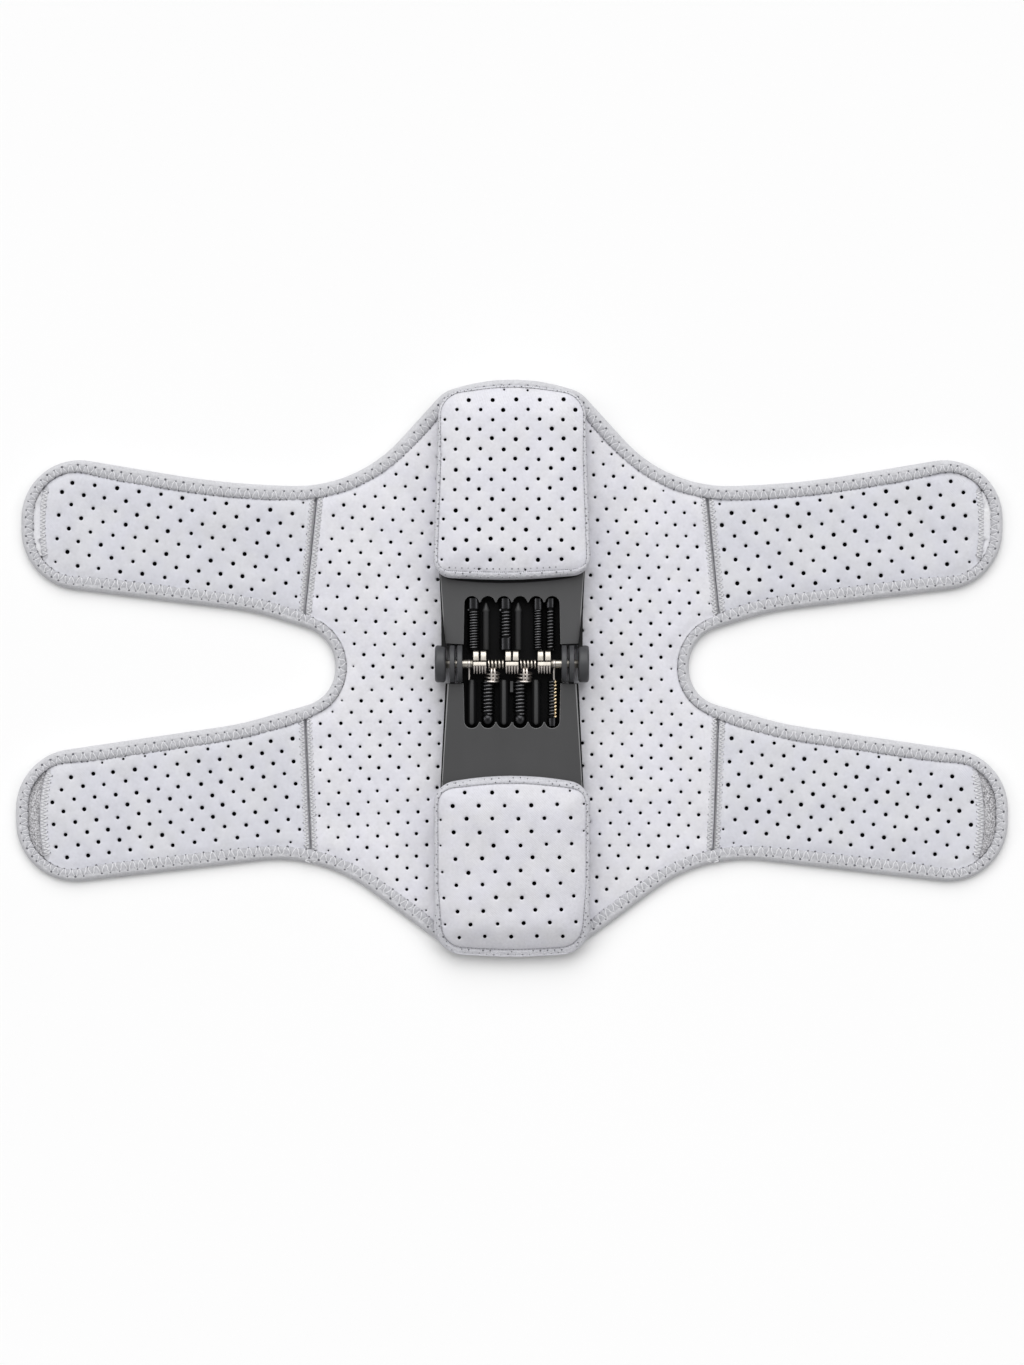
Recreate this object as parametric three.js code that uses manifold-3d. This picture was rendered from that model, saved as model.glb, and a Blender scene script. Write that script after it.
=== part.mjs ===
// A sprung hinged knee brace, laid open on its back. A perforated foam-cloth wrap with four straps is bound round its
// edge, and two padded pockets hold the leaves of a plastic hinge whose wells carry a row of springs.
// Millimetres. +X runs along the straps, +Y to the thigh end and +Z out of the face. The cloth lies on Z = 0.
import * as THREE from "three";
import { mergeVertices } from "three/addons/utils/BufferGeometryUtils.js";
import Module from "manifold-3d";

const wasm = await Module();
wasm.setup();

// Driving dimensions
const GAP = 0.3; // clearance between pieces that meet
const ARC_SAG = 0.5; // how far a chord may lie off the arc it stands for
const CLOTH = { thick: 4.5, edgeLow: 1.2, edgeHigh: 3.3, edgeInset: 1.0 };
const BINDING = { width: 8, tape: 0.7, low: 0.2, high: 4.3, round: 1.1 };
const RIM = { width: 3.4, high: 2.6 };
const PAD = { base: CLOTH.thick + GAP, skirtInset: 0.7, bulgeInset: 2.5 };
const HINGE = { y: 2, radius: 9.2, bore: 2.4, pin: 2.1, pinHalf: 36, boreHalf: 36.4 };
HINGE.z = CLOTH.thick + GAP + HINGE.radius; // the leaves lie on the wrap, level with the foot of the knuckles
const WELL = { count: 6, pitch: 8, width: 8.1, floor: 1.2 };
const LEAF = { thick: 8.6, railStart: 9.7, floorStart: 0.4 };
const ROD = { z: -4, radius: 1.65, guideRadius: 2.3, pull: 0.9 };
const COIL = { radius: 2.4, wire: 0.45, turns: 7, perTurn: 6, sides: 5 };
const SIDES = { knuckle: 18, barrel: 14, bore: 10, rod: 8 };

// Right half of the wrap's outline, from the thigh end to the shin end: corner places and the radius that rounds each.
const WRAP_CORNERS = [
  { at: "thigh crown", x: 0, y: 148, r: 94 },
  { at: "shoulder", x: 34, y: 138, r: 16 },
  { at: "upper flank", x: 78, y: 89.8, r: 70 },
  { at: "upper strap bend", x: 143, y: 92, r: 400 },
  { at: "upper tip, top", x: 245, y: 109, r: 29 },
  { at: "upper tip, foot", x: 245, y: 42.4, r: 30 },
  { at: "notch approach", x: 128.7, y: 28.1, r: 120 },
  { at: "notch top", x: 88.3, y: 15.6, r: 20 },
  { at: "notch foot", x: 88.3, y: -14.6, r: 19 },
  { at: "notch exit", x: 135.8, y: -28.1, r: 150 },
  { at: "lower tip, top", x: 247.7, y: -44.5, r: 30 },
  { at: "lower tip, foot", x: 247.7, y: -110.3, r: 30 },
  { at: "lower flank", x: 95.6, y: -92.8, r: 77 },
  { at: "hem", x: 33.2, y: -139, r: 12 },
];

// Each strap: the seam line where it is sewn to the wrap, and the arc where its perforated cloth ends near the tip.
const STRAPS = [
  { name: "upper", seamTop: [93.8, 120], seamFoot: [106, 1], tipCentre: [143, 71.5], tipRadius: 90 },
  { name: "lower", seamTop: [104.2, -1], seamFoot: [99.1, -120], tipCentre: [142, -75], tipRadius: 90 },
];

// Each padded pocket: right half of its outline, and the height of its rim's seat at the mouth and at the far end.
const PADS = [
  {
    name: "upper",
    corners: [
      { x: 0, y: 142.2, r: 110 },
      { x: 36.4, y: 136.9, r: 13 },
      { x: 39.4, y: 45.6, r: 7 },
      { x: 0, y: 43.2, r: 250 },
    ],
    mouth: { y: 46, seat: 14.6 },
    far: { y: 140.5, seat: 5.6 },
    rimEnd: 131, // the rim runs up both sides to here, and the wrap's own binding closes the end
  },
  {
    name: "lower",
    corners: [
      { x: 0, y: -52.2, r: 160 },
      { x: 38.9, y: -58.6, r: 9 },
      { x: 38.9, y: -142.0, r: 15 },
      { x: 0, y: -144.4, r: 250 },
    ],
    mouth: { y: -57, seat: 14.6 },
    far: { y: -143.5, seat: 6.4 },
    rimEnd: Infinity,
  },
];

// Rings of a pad from the wrap up: how far each lies inside the outline, and its height above the seat.
const PAD_RINGS = [
  { inset: PAD.skirtInset, onWrap: true, rise: 0 },
  { inset: PAD.skirtInset, rise: -GAP },
  { inset: RIM.width + GAP, rise: -GAP, groove: true },
  { inset: RIM.width + GAP, rise: RIM.high + GAP, groove: true },
  { inset: PAD.bulgeInset, rise: 4.2 },
  { inset: PAD.bulgeInset + 0.6, rise: 6.0 },
  { inset: 5.5, rise: 7.9 },
  { inset: 10, rise: 8.9 },
  { inset: 17, rise: 9.4 },
];

// The two leaves of the hinge, measured out from the pin: half widths at the knuckles, pocket mouth and hidden end.
const LEAVES = [
  { name: "upper", turn: 0, nearHalf: 34.5, mouth: 44, mouthHalf: 36.2, end: 116, endHalf: 32.5, endThick: 2.1, well: 33.6 },
  { name: "lower", turn: Math.PI, nearHalf: 33, mouth: 59, mouthHalf: 35.6, end: 127, endHalf: 32.5, endThick: 2.4, well: 31.9 },
];

// Knuckles on each side of the pin, from the well outwards.
const KNUCKLES = [
  { leaf: "upper", from: 24.6, to: 27.2, chamfer: 0 },
  { leaf: "lower", from: 28.4, to: 30.9, chamfer: 0 },
  { leaf: "upper", from: 32.9, to: 38.2, chamfer: 1.0 },
];
const GUSSET = { from: 32.9, to: 35.2, start: 22, end: 6, rise: 5 };

// What stands in each well, from left to right: a rod with a spring on it, or a plain guide rod.
const WELLS = {
  upper: { kinds: ["spring", "guide", "spring", "guide", "spring", "spring"], start: 6.9, tip: 32.2, coilEnd: 28 },
  lower: { kinds: ["guide", "spring", "guide", "spring", "guide", "spring"], start: 7.7, tip: 30.6, coilEnd: 26.5 },
};
const COIL_START = 0.8; // from the foot of a rod to its coil
const UPPER_YOKES = { at: [-16, 0, 16], half: 3.3, radius: 5.3, prong: 2.9, slot: 0.7, reach: 6.6, low: -5.6, high: -1 };
const LOWER_YOKES = { at: [-8, 8], half: 4.3, cheek: 1.4, radius: 3.9, barFrom: 3.4, reach: 7.4, low: -5.6, high: -1.4 };
const LOWER_EYES = { at: [-21.4, 21.4], half: 1.1, radius: 3.9, stemHalf: 0.8, reach: 7.4, low: -5.4, high: -2.4 };
const PIN_COIL = { radius: 2.85, wire: 0.42, half: 2.1, turns: 4 };

// Materials
const finish = (color, roughness, metalness = 0) => new THREE.MeshStandardMaterial({ color, roughness, metalness });
const perforatedCloth = finish(0xdadae2, 0.85);
const bindingCloth = finish(0xcdcdd1, 0.9);
const tabCloth = finish(0xc2c2c6, 0.95);
const plastic = finish(0x4b4b4d, 0.45);
const blackSteel = finish(0x17171a, 0.35, 0.6);
const nickel = finish(0xd9d3c8, 0.22, 1);

// Solids from geometry and back
function solidOf(geometry) {
  const bare = geometry.clone();
  bare.deleteAttribute("normal");
  bare.deleteAttribute("uv");
  const merged = mergeVertices(bare, 1e-4);
  const triVerts = new Uint32Array(merged.index.array);
  return new wasm.Manifold(
    new wasm.Mesh({ numProp: 3, vertProperties: merged.attributes.position.array, triVerts }),
  );
}

function geometryOf(solid) {
  const mesh = solid.getMesh();
  const geometry = new THREE.BufferGeometry();
  geometry.setAttribute("position", new THREE.BufferAttribute(new Float32Array(mesh.vertProperties), 3));
  geometry.setIndex(new THREE.BufferAttribute(new Uint32Array(mesh.triVerts), 1));
  geometry.computeVertexNormals();
  return geometry;
}

const joined = (solids) => solids.reduce((whole, next) => whole.add(next));

function box(low, high) {
  const size = high.map((value, i) => value - low[i]);
  const centre = high.map((value, i) => (value + low[i]) / 2);
  return solidOf(new THREE.BoxGeometry(...size).translate(...centre));
}

// A disc on the pin's line, from one x to another, with both rims chamfered.
function disc(from, to, radius, sides, chamfer = 0) {
  const profile = [
    [0, from],
    [radius - chamfer, from],
    [radius, from + chamfer],
    [radius, to - chamfer],
    [radius - chamfer, to],
    [0, to],
  ].map(([r, x]) => new THREE.Vector2(r, x));
  const kept = profile.filter((p, i) => i === 0 || p.distanceTo(profile[i - 1]) > 1e-6);
  return solidOf(new THREE.LatheGeometry(kept, sides).rotateZ(-Math.PI / 2));
}

// Lines of points
function bothHalves(corners) {
  const left = corners.filter((c) => c.x > 0).map((c) => ({ ...c, x: -c.x }));
  return [...left, ...corners.toReversed()]; // counter-clockwise
}

// Rounds every corner of a closed line with an arc of its own radius.
function rounded(corners) {
  const at = (c) => new THREE.Vector2(c.x, c.y);
  return corners.flatMap((corner, i) => {
    const before = at(corners.at(i - 1)).sub(at(corner)).normalize();
    const after = at(corners[(i + 1) % corners.length]).sub(at(corner)).normalize();
    const half = Math.acos(THREE.MathUtils.clamp(before.dot(after), -1, 1)) / 2;
    const centre = before.clone().add(after).setLength(corner.r / Math.sin(half)).add(at(corner));
    const start = before.setLength(corner.r / Math.tan(half)).add(at(corner)).sub(centre);
    const sweep = (Math.PI - 2 * half) * Math.sign(start.cross(at(corner).sub(centre)));
    const step = 2 * Math.acos(1 - Math.min(ARC_SAG, corner.r / 12) / corner.r);
    const steps = Math.max(2, Math.ceil(Math.abs(sweep) / step));
    return Array.from({ length: steps + 1 }, (_, k) =>
      start.clone().rotateAround(new THREE.Vector2(), (sweep * k) / steps).add(centre),
    );
  });
}

// Moves a closed counter-clockwise line inwards.
function inset(points, distance) {
  const outward = (a, b) => new THREE.Vector2(b.y - a.y, a.x - b.x).normalize();
  return points.map((point, i) => {
    const first = outward(points.at(i - 1), point);
    const mitre = outward(point, points[(i + 1) % points.length]).add(first).normalize();
    return point.clone().addScaledVector(mitre, -distance / mitre.dot(first));
  });
}

// Draws a line in towards the middle of its own box, so that deep rings keep round corners.
function drawnIn(points, distance) {
  const frame = new THREE.Box2().setFromPoints(points);
  const middle = frame.getCenter(new THREE.Vector2());
  const half = frame.getSize(new THREE.Vector2()).divideScalar(2);
  return points.map((point) => {
    const share = point.clone().sub(middle).divide(half);
    return point.clone().addScaledVector(share, -distance(point));
  });
}

// Solids from lines
function slab(points, low, high) {
  const extruded = new THREE.ExtrudeGeometry(new THREE.Shape(points), { depth: high - low, bevelEnabled: false });
  return solidOf(extruded.translate(0, 0, low));
}

// A side profile of [y, z] places carried across x.
function across(profile, from, to) {
  const shape = new THREE.Shape(profile.map(([y, z]) => new THREE.Vector2(y, z)));
  const extruded = new THREE.ExtrudeGeometry(shape, { depth: to - from, bevelEnabled: false });
  const turned = new THREE.Matrix4().makeBasis(
    new THREE.Vector3(0, 1, 0),
    new THREE.Vector3(0, 0, 1),
    new THREE.Vector3(1, 0, 0),
  );
  return solidOf(extruded.applyMatrix4(turned).translate(from, 0, 0));
}

// Triangles that fill a line and turn the way it does.
function capTriangles(line) {
  const triangles = THREE.ShapeUtils.triangulateShape(line, []);
  return THREE.ShapeUtils.isClockWise(line) ? triangles.map((t) => t.toReversed()) : triangles;
}

// Rings of equally many points, skinned into one closed body. Open stacks get a flat cap on the first and last ring.
function skin(rings, { closed = false, cap = (p) => new THREE.Vector2(p.x, p.y) } = {}) {
  const count = rings[0].length;
  const index = [];
  const last = closed ? rings.length : rings.length - 1;
  for (let k = 0; k < last; k++) {
    const a = k * count;
    const b = ((k + 1) % rings.length) * count;
    for (let i = 0; i < count; i++) {
      const j = (i + 1) % count;
      index.push(a + i, a + j, b + j, a + i, b + j, b + i);
    }
  }
  if (!closed) {
    const top = (rings.length - 1) * count;
    for (const [i, j, k] of capTriangles(rings[0].map(cap))) index.push(k, j, i);
    for (const [i, j, k] of capTriangles(rings.at(-1).map(cap))) index.push(top + i, top + j, top + k);
  }
  const geometry = new THREE.BufferGeometry().setFromPoints(rings.flat());
  geometry.setIndex(index);
  return solidOf(geometry);
}

// A section of [outward, up] places carried along a line of points, lifted by a height that depends on the point.
function carried(points, section, lift = () => 0, keep = null) {
  const lines = section.map(([out]) => inset(points, -out));
  const stations = points.map((point, i) =>
    section.map(([, up], s) => new THREE.Vector3(lines[s][i].x, lines[s][i].y, up + lift(point))),
  );
  if (!keep) return skin(stations, { closed: true });
  const cap = (p) => new THREE.Vector2(p.x, p.z);
  return skin(stations.filter((_, i) => keep(points[i])), { cap });
}

class Helix extends THREE.Curve {
  constructor(radius, length, turns) {
    super();
    Object.assign(this, { radius, length, turns });
  }
  getPoint(t, target = new THREE.Vector3()) {
    const angle = 2 * Math.PI * this.turns * t;
    return target.set(this.radius * Math.cos(angle), this.length * t, this.radius * Math.sin(angle));
  }
}

// A spring along +Y from the origin.
function coil(radius, wire, length, turns) {
  const ring = Array.from({ length: COIL.sides }, (_, k) => (2 * Math.PI * k) / COIL.sides);
  const section = new THREE.Shape(ring.map((a) => new THREE.Vector2(wire * Math.cos(a), wire * Math.sin(a))));
  const extrudePath = new Helix(radius, length, turns);
  const steps = Math.round(turns * COIL.perTurn);
  return new THREE.ExtrudeGeometry(section, { steps, extrudePath, bevelEnabled: false });
}

// A rod along +Y from the origin, with a tip of its own shape.
function rod(radius, length, tip) {
  const profile = [[0, 0], [radius, 0], ...tip.map(([share, back]) => [radius * share, length - back]), [0, length]];
  return new THREE.LatheGeometry(profile.map(([r, y]) => new THREE.Vector2(r, y)), SIDES.rod);
}

// The wrap, its straps and the tabs at their tips are cut from one blank, thinner where the binding grips it
const outline = rounded(bothHalves(WRAP_CORNERS));
const blank = slab(inset(outline, BINDING.width + GAP), 0, CLOTH.thick).add(
  slab(inset(outline, CLOTH.edgeInset), CLOTH.edgeLow, CLOTH.edgeHigh),
);
const CUT = { reach: 300, low: -1, high: CLOTH.thick + 1 };

// Everything on a strap's side of its seam, moved off the seam by half the gap.
function strapSide(strap, side, shift) {
  const [top, foot] = [strap.seamTop, strap.seamFoot];
  const line = [top, foot].map(([x, y]) => new THREE.Vector2(side * (x + shift), y));
  const far = [foot, top].map(([, y]) => new THREE.Vector2(side * CUT.reach, y));
  return slab([...line, ...far], CUT.low, CUT.high);
}

function tipRound(strap, side, shift) {
  const [x, y] = strap.tipCentre;
  const steps = 48;
  const circle = Array.from({ length: steps }, (_, k) => {
    const angle = (2 * Math.PI * k) / steps;
    const radius = strap.tipRadius + shift;
    return new THREE.Vector2(side * x + radius * Math.cos(angle), y + radius * Math.sin(angle));
  });
  return slab(circle, CUT.low, CUT.high);
}

const brace = new THREE.Group();
function piece(name, geometry, material, parent = brace) {
  const mesh = new THREE.Mesh(geometry.isBufferGeometry ? geometry : geometryOf(geometry), material);
  mesh.name = name;
  parent.add(mesh);
  return mesh;
}

let wrap = blank;
for (const [sideName, side] of [["left", -1], ["right", 1]]) {
  for (const strap of STRAPS) {
    wrap = wrap.subtract(strapSide(strap, side, -GAP / 2));
    const whole = blank.intersect(strapSide(strap, side, GAP / 2));
    piece(`strap_${strap.name}_${sideName}`, whole.intersect(tipRound(strap, side, -GAP / 2)), perforatedCloth);
    piece(`tip_tab_${strap.name}_${sideName}`, whole.subtract(tipRound(strap, side, GAP / 2)), tabCloth);
  }
}
piece("wrap_panel", wrap, perforatedCloth);

// The binding is a tape folded round the edge: a C section, open inwards
const tapeSection = [
  [-BINDING.round, BINDING.high],
  [0, (BINDING.low + BINDING.high) / 2],
  [-BINDING.round, BINDING.low],
  [-BINDING.width, BINDING.low],
  [-BINDING.width, BINDING.low + BINDING.tape],
  [-BINDING.tape, BINDING.low + BINDING.tape],
  [-BINDING.tape, BINDING.high - BINDING.tape],
  [-BINDING.width, BINDING.high - BINDING.tape],
  [-BINDING.width, BINDING.high],
];
piece("edge_binding", carried(outline, tapeSection), bindingCloth);

// Hinge leaves
const hinge = new THREE.Group();
hinge.position.set(0, HINGE.y, HINGE.z);
brace.add(hinge);

// A leaf's body without its well, grown by a margin all round.
function leafBody(leaf, margin = 0) {
  const half = [
    [LEAF.railStart, leaf.nearHalf],
    [leaf.mouth, leaf.mouthHalf],
    [leaf.end, leaf.endHalf],
  ];
  const plan = [
    ...half.map(([y, x]) => new THREE.Vector2(x, y)),
    ...half.toReversed().map(([y, x]) => new THREE.Vector2(-x, y)),
  ];
  const low = -HINGE.radius;
  const profile = [
    [LEAF.railStart - margin, low - margin],
    [leaf.end + margin, low - margin],
    [leaf.end + margin, low + leaf.endThick + margin],
    [leaf.mouth, low + LEAF.thick + margin],
    [LEAF.railStart - margin, low + LEAF.thick + margin],
  ];
  const reach = leaf.mouthHalf + margin + 1;
  return slab(inset(plan, -margin), low - 1, low + LEAF.thick + 1).intersect(across(profile, -reach, reach));
}

// The spring well: a slot for each channel, with round ends that leave a scalloped edge.
function well(leaf) {
  const channels = Array.from({ length: WELL.count }, (_, k) => {
    const x = (k - (WELL.count - 1) / 2) * WELL.pitch;
    const r = WELL.width / 2;
    const end = Array.from({ length: 7 }, (_, i) => (Math.PI * i) / 6);
    const round = end.map((a) => new THREE.Vector2(x + r * Math.cos(a), leaf.well - r + r * Math.sin(a)));
    const foot = [new THREE.Vector2(x - r, 0), new THREE.Vector2(x + r, 0)];
    return slab([...round, ...foot], WELL.floor - HINGE.radius, HINGE.radius);
  });
  return joined(channels);
}

function leafSolid(leaf) {
  const wellHalf = (WELL.count * WELL.pitch) / 2;
  const low = -HINGE.radius;
  const floor = box([-wellHalf, LEAF.floorStart, low], [wellHalf, LEAF.railStart + 2, low + WELL.floor]);
  const sides = [-1, 1].flatMap((side) =>
    KNUCKLES.filter((k) => k.leaf === leaf.name).flatMap((k) => {
      const [from, to] = side < 0 ? [-k.to, -k.from] : [k.from, k.to];
      const inner = Math.min(k.to, leaf.nearHalf);
      const [webFrom, webTo] = side < 0 ? [-inner, -k.from] : [k.from, inner];
      return [disc(from, to, HINGE.radius, SIDES.knuckle, k.chamfer), box([webFrom, 0, low], [webTo, LEAF.railStart + 1, 0])];
    }),
  );
  let solid = joined([leafBody(leaf).subtract(well(leaf)), floor, ...sides]);
  if (leaf.name === "upper") {
    const top = low + LEAF.thick - GAP;
    const ramp = [[GUSSET.end, top], [GUSSET.start, top], [GUSSET.end, GUSSET.rise]];
    solid = joined([solid, across(ramp, GUSSET.from, GUSSET.to), across(ramp, -GUSSET.to, -GUSSET.from)]);
  }
  return solid.subtract(disc(-HINGE.boreHalf, HINGE.boreHalf, HINGE.bore, SIDES.bore));
}

const leafFrames = {};
for (const leaf of LEAVES) {
  const frame = new THREE.Group();
  frame.rotation.z = leaf.turn;
  hinge.add(frame);
  leafFrames[leaf.name] = frame;
  piece(`hinge_leaf_${leaf.name}`, leafSolid(leaf), plastic, frame);
}
piece("hinge_pin", disc(-HINGE.pinHalf, HINGE.pinHalf, HINGE.pin, SIDES.bore, 0.4), nickel, hinge);

// Yokes and eyes on the pin. Their prongs point along +Y of their own leaf's frame.
const pinBore = (half) => disc(-half - 1, half + 1, HINGE.bore, SIDES.bore);

function upperYoke() {
  const y = UPPER_YOKES;
  const prongs = [-1, 1].map((side) => {
    const xs = [side * (y.slot / 2), side * (y.slot / 2 + y.prong)].sort((a, b) => a - b);
    return box([xs[0], 0, y.low], [xs[1], y.reach, y.high]);
  });
  return joined([disc(-y.half, y.half, y.radius, SIDES.barrel, 0.4), ...prongs]).subtract(pinBore(y.half));
}

function lowerYoke() {
  const y = LOWER_YOKES;
  const cheeks = [[-y.half, y.cheek - y.half], [y.half - y.cheek, y.half]].flatMap(([from, to]) => [
    disc(from, to, y.radius, SIDES.bore),
    box([from, 0, y.low], [to, y.reach, 0]),
  ]);
  const bar = box([-y.half, y.barFrom, y.low], [y.half, y.reach, y.high]);
  return joined([...cheeks, bar]).subtract(pinBore(y.half));
}

function lowerEye() {
  const e = LOWER_EYES;
  const stem = box([-e.stemHalf, 0, e.low], [e.stemHalf, e.reach, e.high]);
  return disc(-e.half, e.half, e.radius, SIDES.bore).add(stem).subtract(pinBore(e.half));
}

UPPER_YOKES.at.forEach((x, k) => {
  piece(`yoke_upper_${k + 1}`, upperYoke(), nickel, leafFrames.upper).position.x = x;
});
LOWER_YOKES.at.forEach((x, k) => {
  const yoke = piece(`yoke_lower_${k + 1}`, lowerYoke(), nickel, leafFrames.lower);
  yoke.position.x = -x; // the lower frame is turned half round
  const spring = piece(`pin_coil_${k + 1}`, coil(PIN_COIL.radius, PIN_COIL.wire, 2 * PIN_COIL.half, PIN_COIL.turns), nickel, hinge);
  spring.rotation.z = -Math.PI / 2;
  spring.position.x = x - PIN_COIL.half;
});
LOWER_EYES.at.forEach((x, k) => {
  piece(`eye_lower_${["left", "right"][k]}`, lowerEye(), nickel, leafFrames.lower).position.x = -x;
});

// Rods in the wells. The upper ones stand a little nearer to the middle of their yoke than the channels do
const ROUND_TIP = [[1, 1.65], [0.87, 0.82], [0.5, 0.22]];
const POINTED_TIP = [[1, 3.4], [0.25, 0.2]];
for (const leaf of LEAVES) {
  const side = Math.cos(leaf.turn);
  const { kinds, start, tip, coilEnd } = WELLS[leaf.name];
  kinds.forEach((kind, k) => {
    const channel = (k - (WELL.count - 1) / 2) * WELL.pitch;
    const pulled = leaf.name === "upper" ? channel + ROD.pull * (k % 2 ? -1 : 1) : channel;
    const frame = leafFrames[leaf.name];
    const place = [side * pulled, start, ROD.z];
    if (kind === "guide") {
      const points = leaf.name === "upper" ? POINTED_TIP : ROUND_TIP;
      const length = tip - start - (leaf.name === "upper" ? 4.5 : 0.5);
      const guide = piece(`guide_rod_${leaf.name}_${k + 1}`, rod(ROD.guideRadius, length, points), plastic, frame);
      guide.position.set(...place);
      return;
    }
    const post = piece(`spring_rod_${leaf.name}_${k + 1}`, rod(ROD.radius, tip - start, ROUND_TIP), blackSteel, frame);
    post.position.set(...place);
    const length = coilEnd - start - COIL_START;
    const spring = piece(`spring_${leaf.name}_${k + 1}`, coil(COIL.radius, COIL.wire, length, COIL.turns), blackSteel, frame);
    spring.position.set(place[0], start + COIL_START, ROD.z);
  });
}

// Padded pockets: a crowned cushion over each leaf's end, with a sewn rim round it
hinge.updateMatrixWorld(true);
for (const pad of PADS) {
  const line = rounded(bothHalves(pad.corners));
  const slope = (pad.far.seat - pad.mouth.seat) / (pad.far.y - pad.mouth.y);
  const seat = (point) => pad.mouth.seat + slope * (point.y - pad.mouth.y);
  const rings = PAD_RINGS.map((ring) => {
    const depth = (point) => (ring.groove && point.y > pad.rimEnd + RIM.width ? PAD.skirtInset + 0.2 : ring.inset);
    const height = (point) => (ring.onWrap ? PAD.base : seat(point) + ring.rise);
    return drawnIn(line, depth).map((p, i) => new THREE.Vector3(p.x, p.y, height(line[i])));
  });
  const leaf = LEAVES.find((l) => l.name === pad.name);
  const pocket = geometryOf(leafBody(leaf, GAP)).applyMatrix4(leafFrames[leaf.name].matrixWorld);
  piece(`pad_${pad.name}`, skin(rings).subtract(solidOf(pocket)), perforatedCloth);

  const rimSection = [
    [0, 0.4],
    [0, RIM.high - 0.8],
    [-0.8, RIM.high],
    [-RIM.width, RIM.high],
    [-RIM.width, 0],
    [-0.4, 0],
  ].toReversed();
  const keep = Number.isFinite(pad.rimEnd) ? (point) => point.y < pad.rimEnd : null;
  piece(`pad_rim_${pad.name}`, carried(line, rimSection, seat, keep), bindingCloth);
}

export default brace;
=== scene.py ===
# Dresses the hinged knee brace: perforated cloth, stitched edges, padded pockets and the sprung hinge.
# Shapes are worked out in millimetres in the frame of the CAD model and become metres when a mesh is made.
import math
import random
from collections import namedtuple

import bpy
import numpy as np
from mathutils import Matrix, Vector, kdtree
from mathutils.geometry import delaunay_2d_cdt


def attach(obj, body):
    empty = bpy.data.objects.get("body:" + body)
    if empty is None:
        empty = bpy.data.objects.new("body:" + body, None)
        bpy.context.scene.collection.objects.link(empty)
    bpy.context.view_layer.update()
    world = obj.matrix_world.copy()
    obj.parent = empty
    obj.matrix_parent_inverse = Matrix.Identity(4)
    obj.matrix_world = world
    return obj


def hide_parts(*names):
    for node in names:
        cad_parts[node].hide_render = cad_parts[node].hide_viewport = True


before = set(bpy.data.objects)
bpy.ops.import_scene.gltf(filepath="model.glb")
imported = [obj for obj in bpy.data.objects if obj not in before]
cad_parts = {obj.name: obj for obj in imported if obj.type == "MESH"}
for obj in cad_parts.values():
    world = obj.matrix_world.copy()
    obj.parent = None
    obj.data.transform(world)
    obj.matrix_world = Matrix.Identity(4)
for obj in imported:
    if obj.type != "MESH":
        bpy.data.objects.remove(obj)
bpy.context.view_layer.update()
rng = random.Random(7)
MM = 0.001

# Sizes shared with the CAD model, apart from the pads' mouths, which are rounder and tilted here
Corner = namedtuple("Corner", "x y r")
WRAP_CORNERS = [
    Corner(*row)
    for row in (
        (0, 148, 94), (34, 138, 16), (78, 89.8, 70), (143, 92, 400), (245, 109, 29), (245, 42.4, 30),
        (128.7, 28.1, 120), (88.3, 15.6, 20), (88.3, -14.6, 19), (135.8, -28.1, 150),
        (247.7, -44.5, 30), (247.7, -110.3, 30), (95.6, -92.8, 77), (33.2, -139, 12),
    )
]
Strap = namedtuple("Strap", "name seam_top seam_foot seam_ends tip_centre tip_radius end_band pile_drop")
STRAPS = [
    Strap("upper", (93.8, 120), (106, 1), (90, 24), (143, 71.5), 90, 2.9, 0.2),
    Strap("lower", (104.2, -1), (99.1, -120), (-23, -97), (142, -75), 90, 3.7, 0.8),
]
Pad = namedtuple("Pad", "name corners mouth_y mouth_seat far_y far_seat far_rim tilt")
PADS = [
    Pad(
        "upper",
        [Corner(0, 142.2, 110), Corner(36.4, 136.9, 13), Corner(39.4, 45.6, 9.5), Corner(0, 43.2, 250)],
        46, 14.6, 140.5, 5.6, -1.0, 0.018,
    ),
    Pad(
        "lower",
        [Corner(0, -51.2, 160), Corner(38.9, -57.8, 12), Corner(38.9, -142, 15), Corner(0, -144.4, 250)],
        -57, 14.6, -143.5, 6.4, 1.6, 0.0,
    ),
]
Leaf = namedtuple(
    "Leaf", "name way near_half mouth mouth_half end end_half end_thick well rod_start rod_tip rod_pull rods"
)
UPPER_RODS = ("thick", "pointed", "sleeved", "pointed", "plain", "slim")
LOWER_RODS = ("smooth", "ball", "smooth", "ball", "smooth", "brassed")
LEAVES = [
    Leaf("upper", 1, 34.5, 44, 36.2, 116, 32.5, 2.1, 33.6, 6.9, 32.8, 0.9, UPPER_RODS),
    Leaf("lower", -1, 33, 59, 35.6, 127, 32.5, 2.4, 31.9, 7.7, 31.1, 0.0, LOWER_RODS),
]
Spring = namedtuple("Spring", "reach wire pitch head sleeve")
SPRING_KINDS = {
    "thick": Spring(2.85, 0.4, 1.35, 5.6, 0.0),
    "sleeved": Spring(2.75, 0.45, 1.6, 5.6, 6.0),
    "plain": Spring(2.2, 0.38, 1.3, 6.0, 0.0),
    "slim": Spring(2.05, 0.42, 1.6, 5.0, 0.0),
    "ball": Spring(3.0, 0.52, 1.78, 5.8, 0.0),
    "brassed": Spring(2.0, 0.42, 1.6, 4.4, 0.0),
}
Knuckle = namedtuple("Knuckle", "leaf start end edge closed")
KNUCKLES = [
    Knuckle("upper", 24.6, 27.2, 0.45, False),
    Knuckle("lower", 28.4, 30.9, 0.45, False),
    Knuckle("upper", 32.9, 38.2, 1.3, True),
]
CLOTH_TOP = 4.5
HINGE_Y = 2
HINGE_Z = 14
KNUCKLE_RADIUS = 9.2
LEAF_LOW = HINGE_Z - KNUCKLE_RADIUS
LEAF_THICK = 8.6
LEAF_TOP = LEAF_LOW + LEAF_THICK
RAIL_START = 9.7
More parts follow.
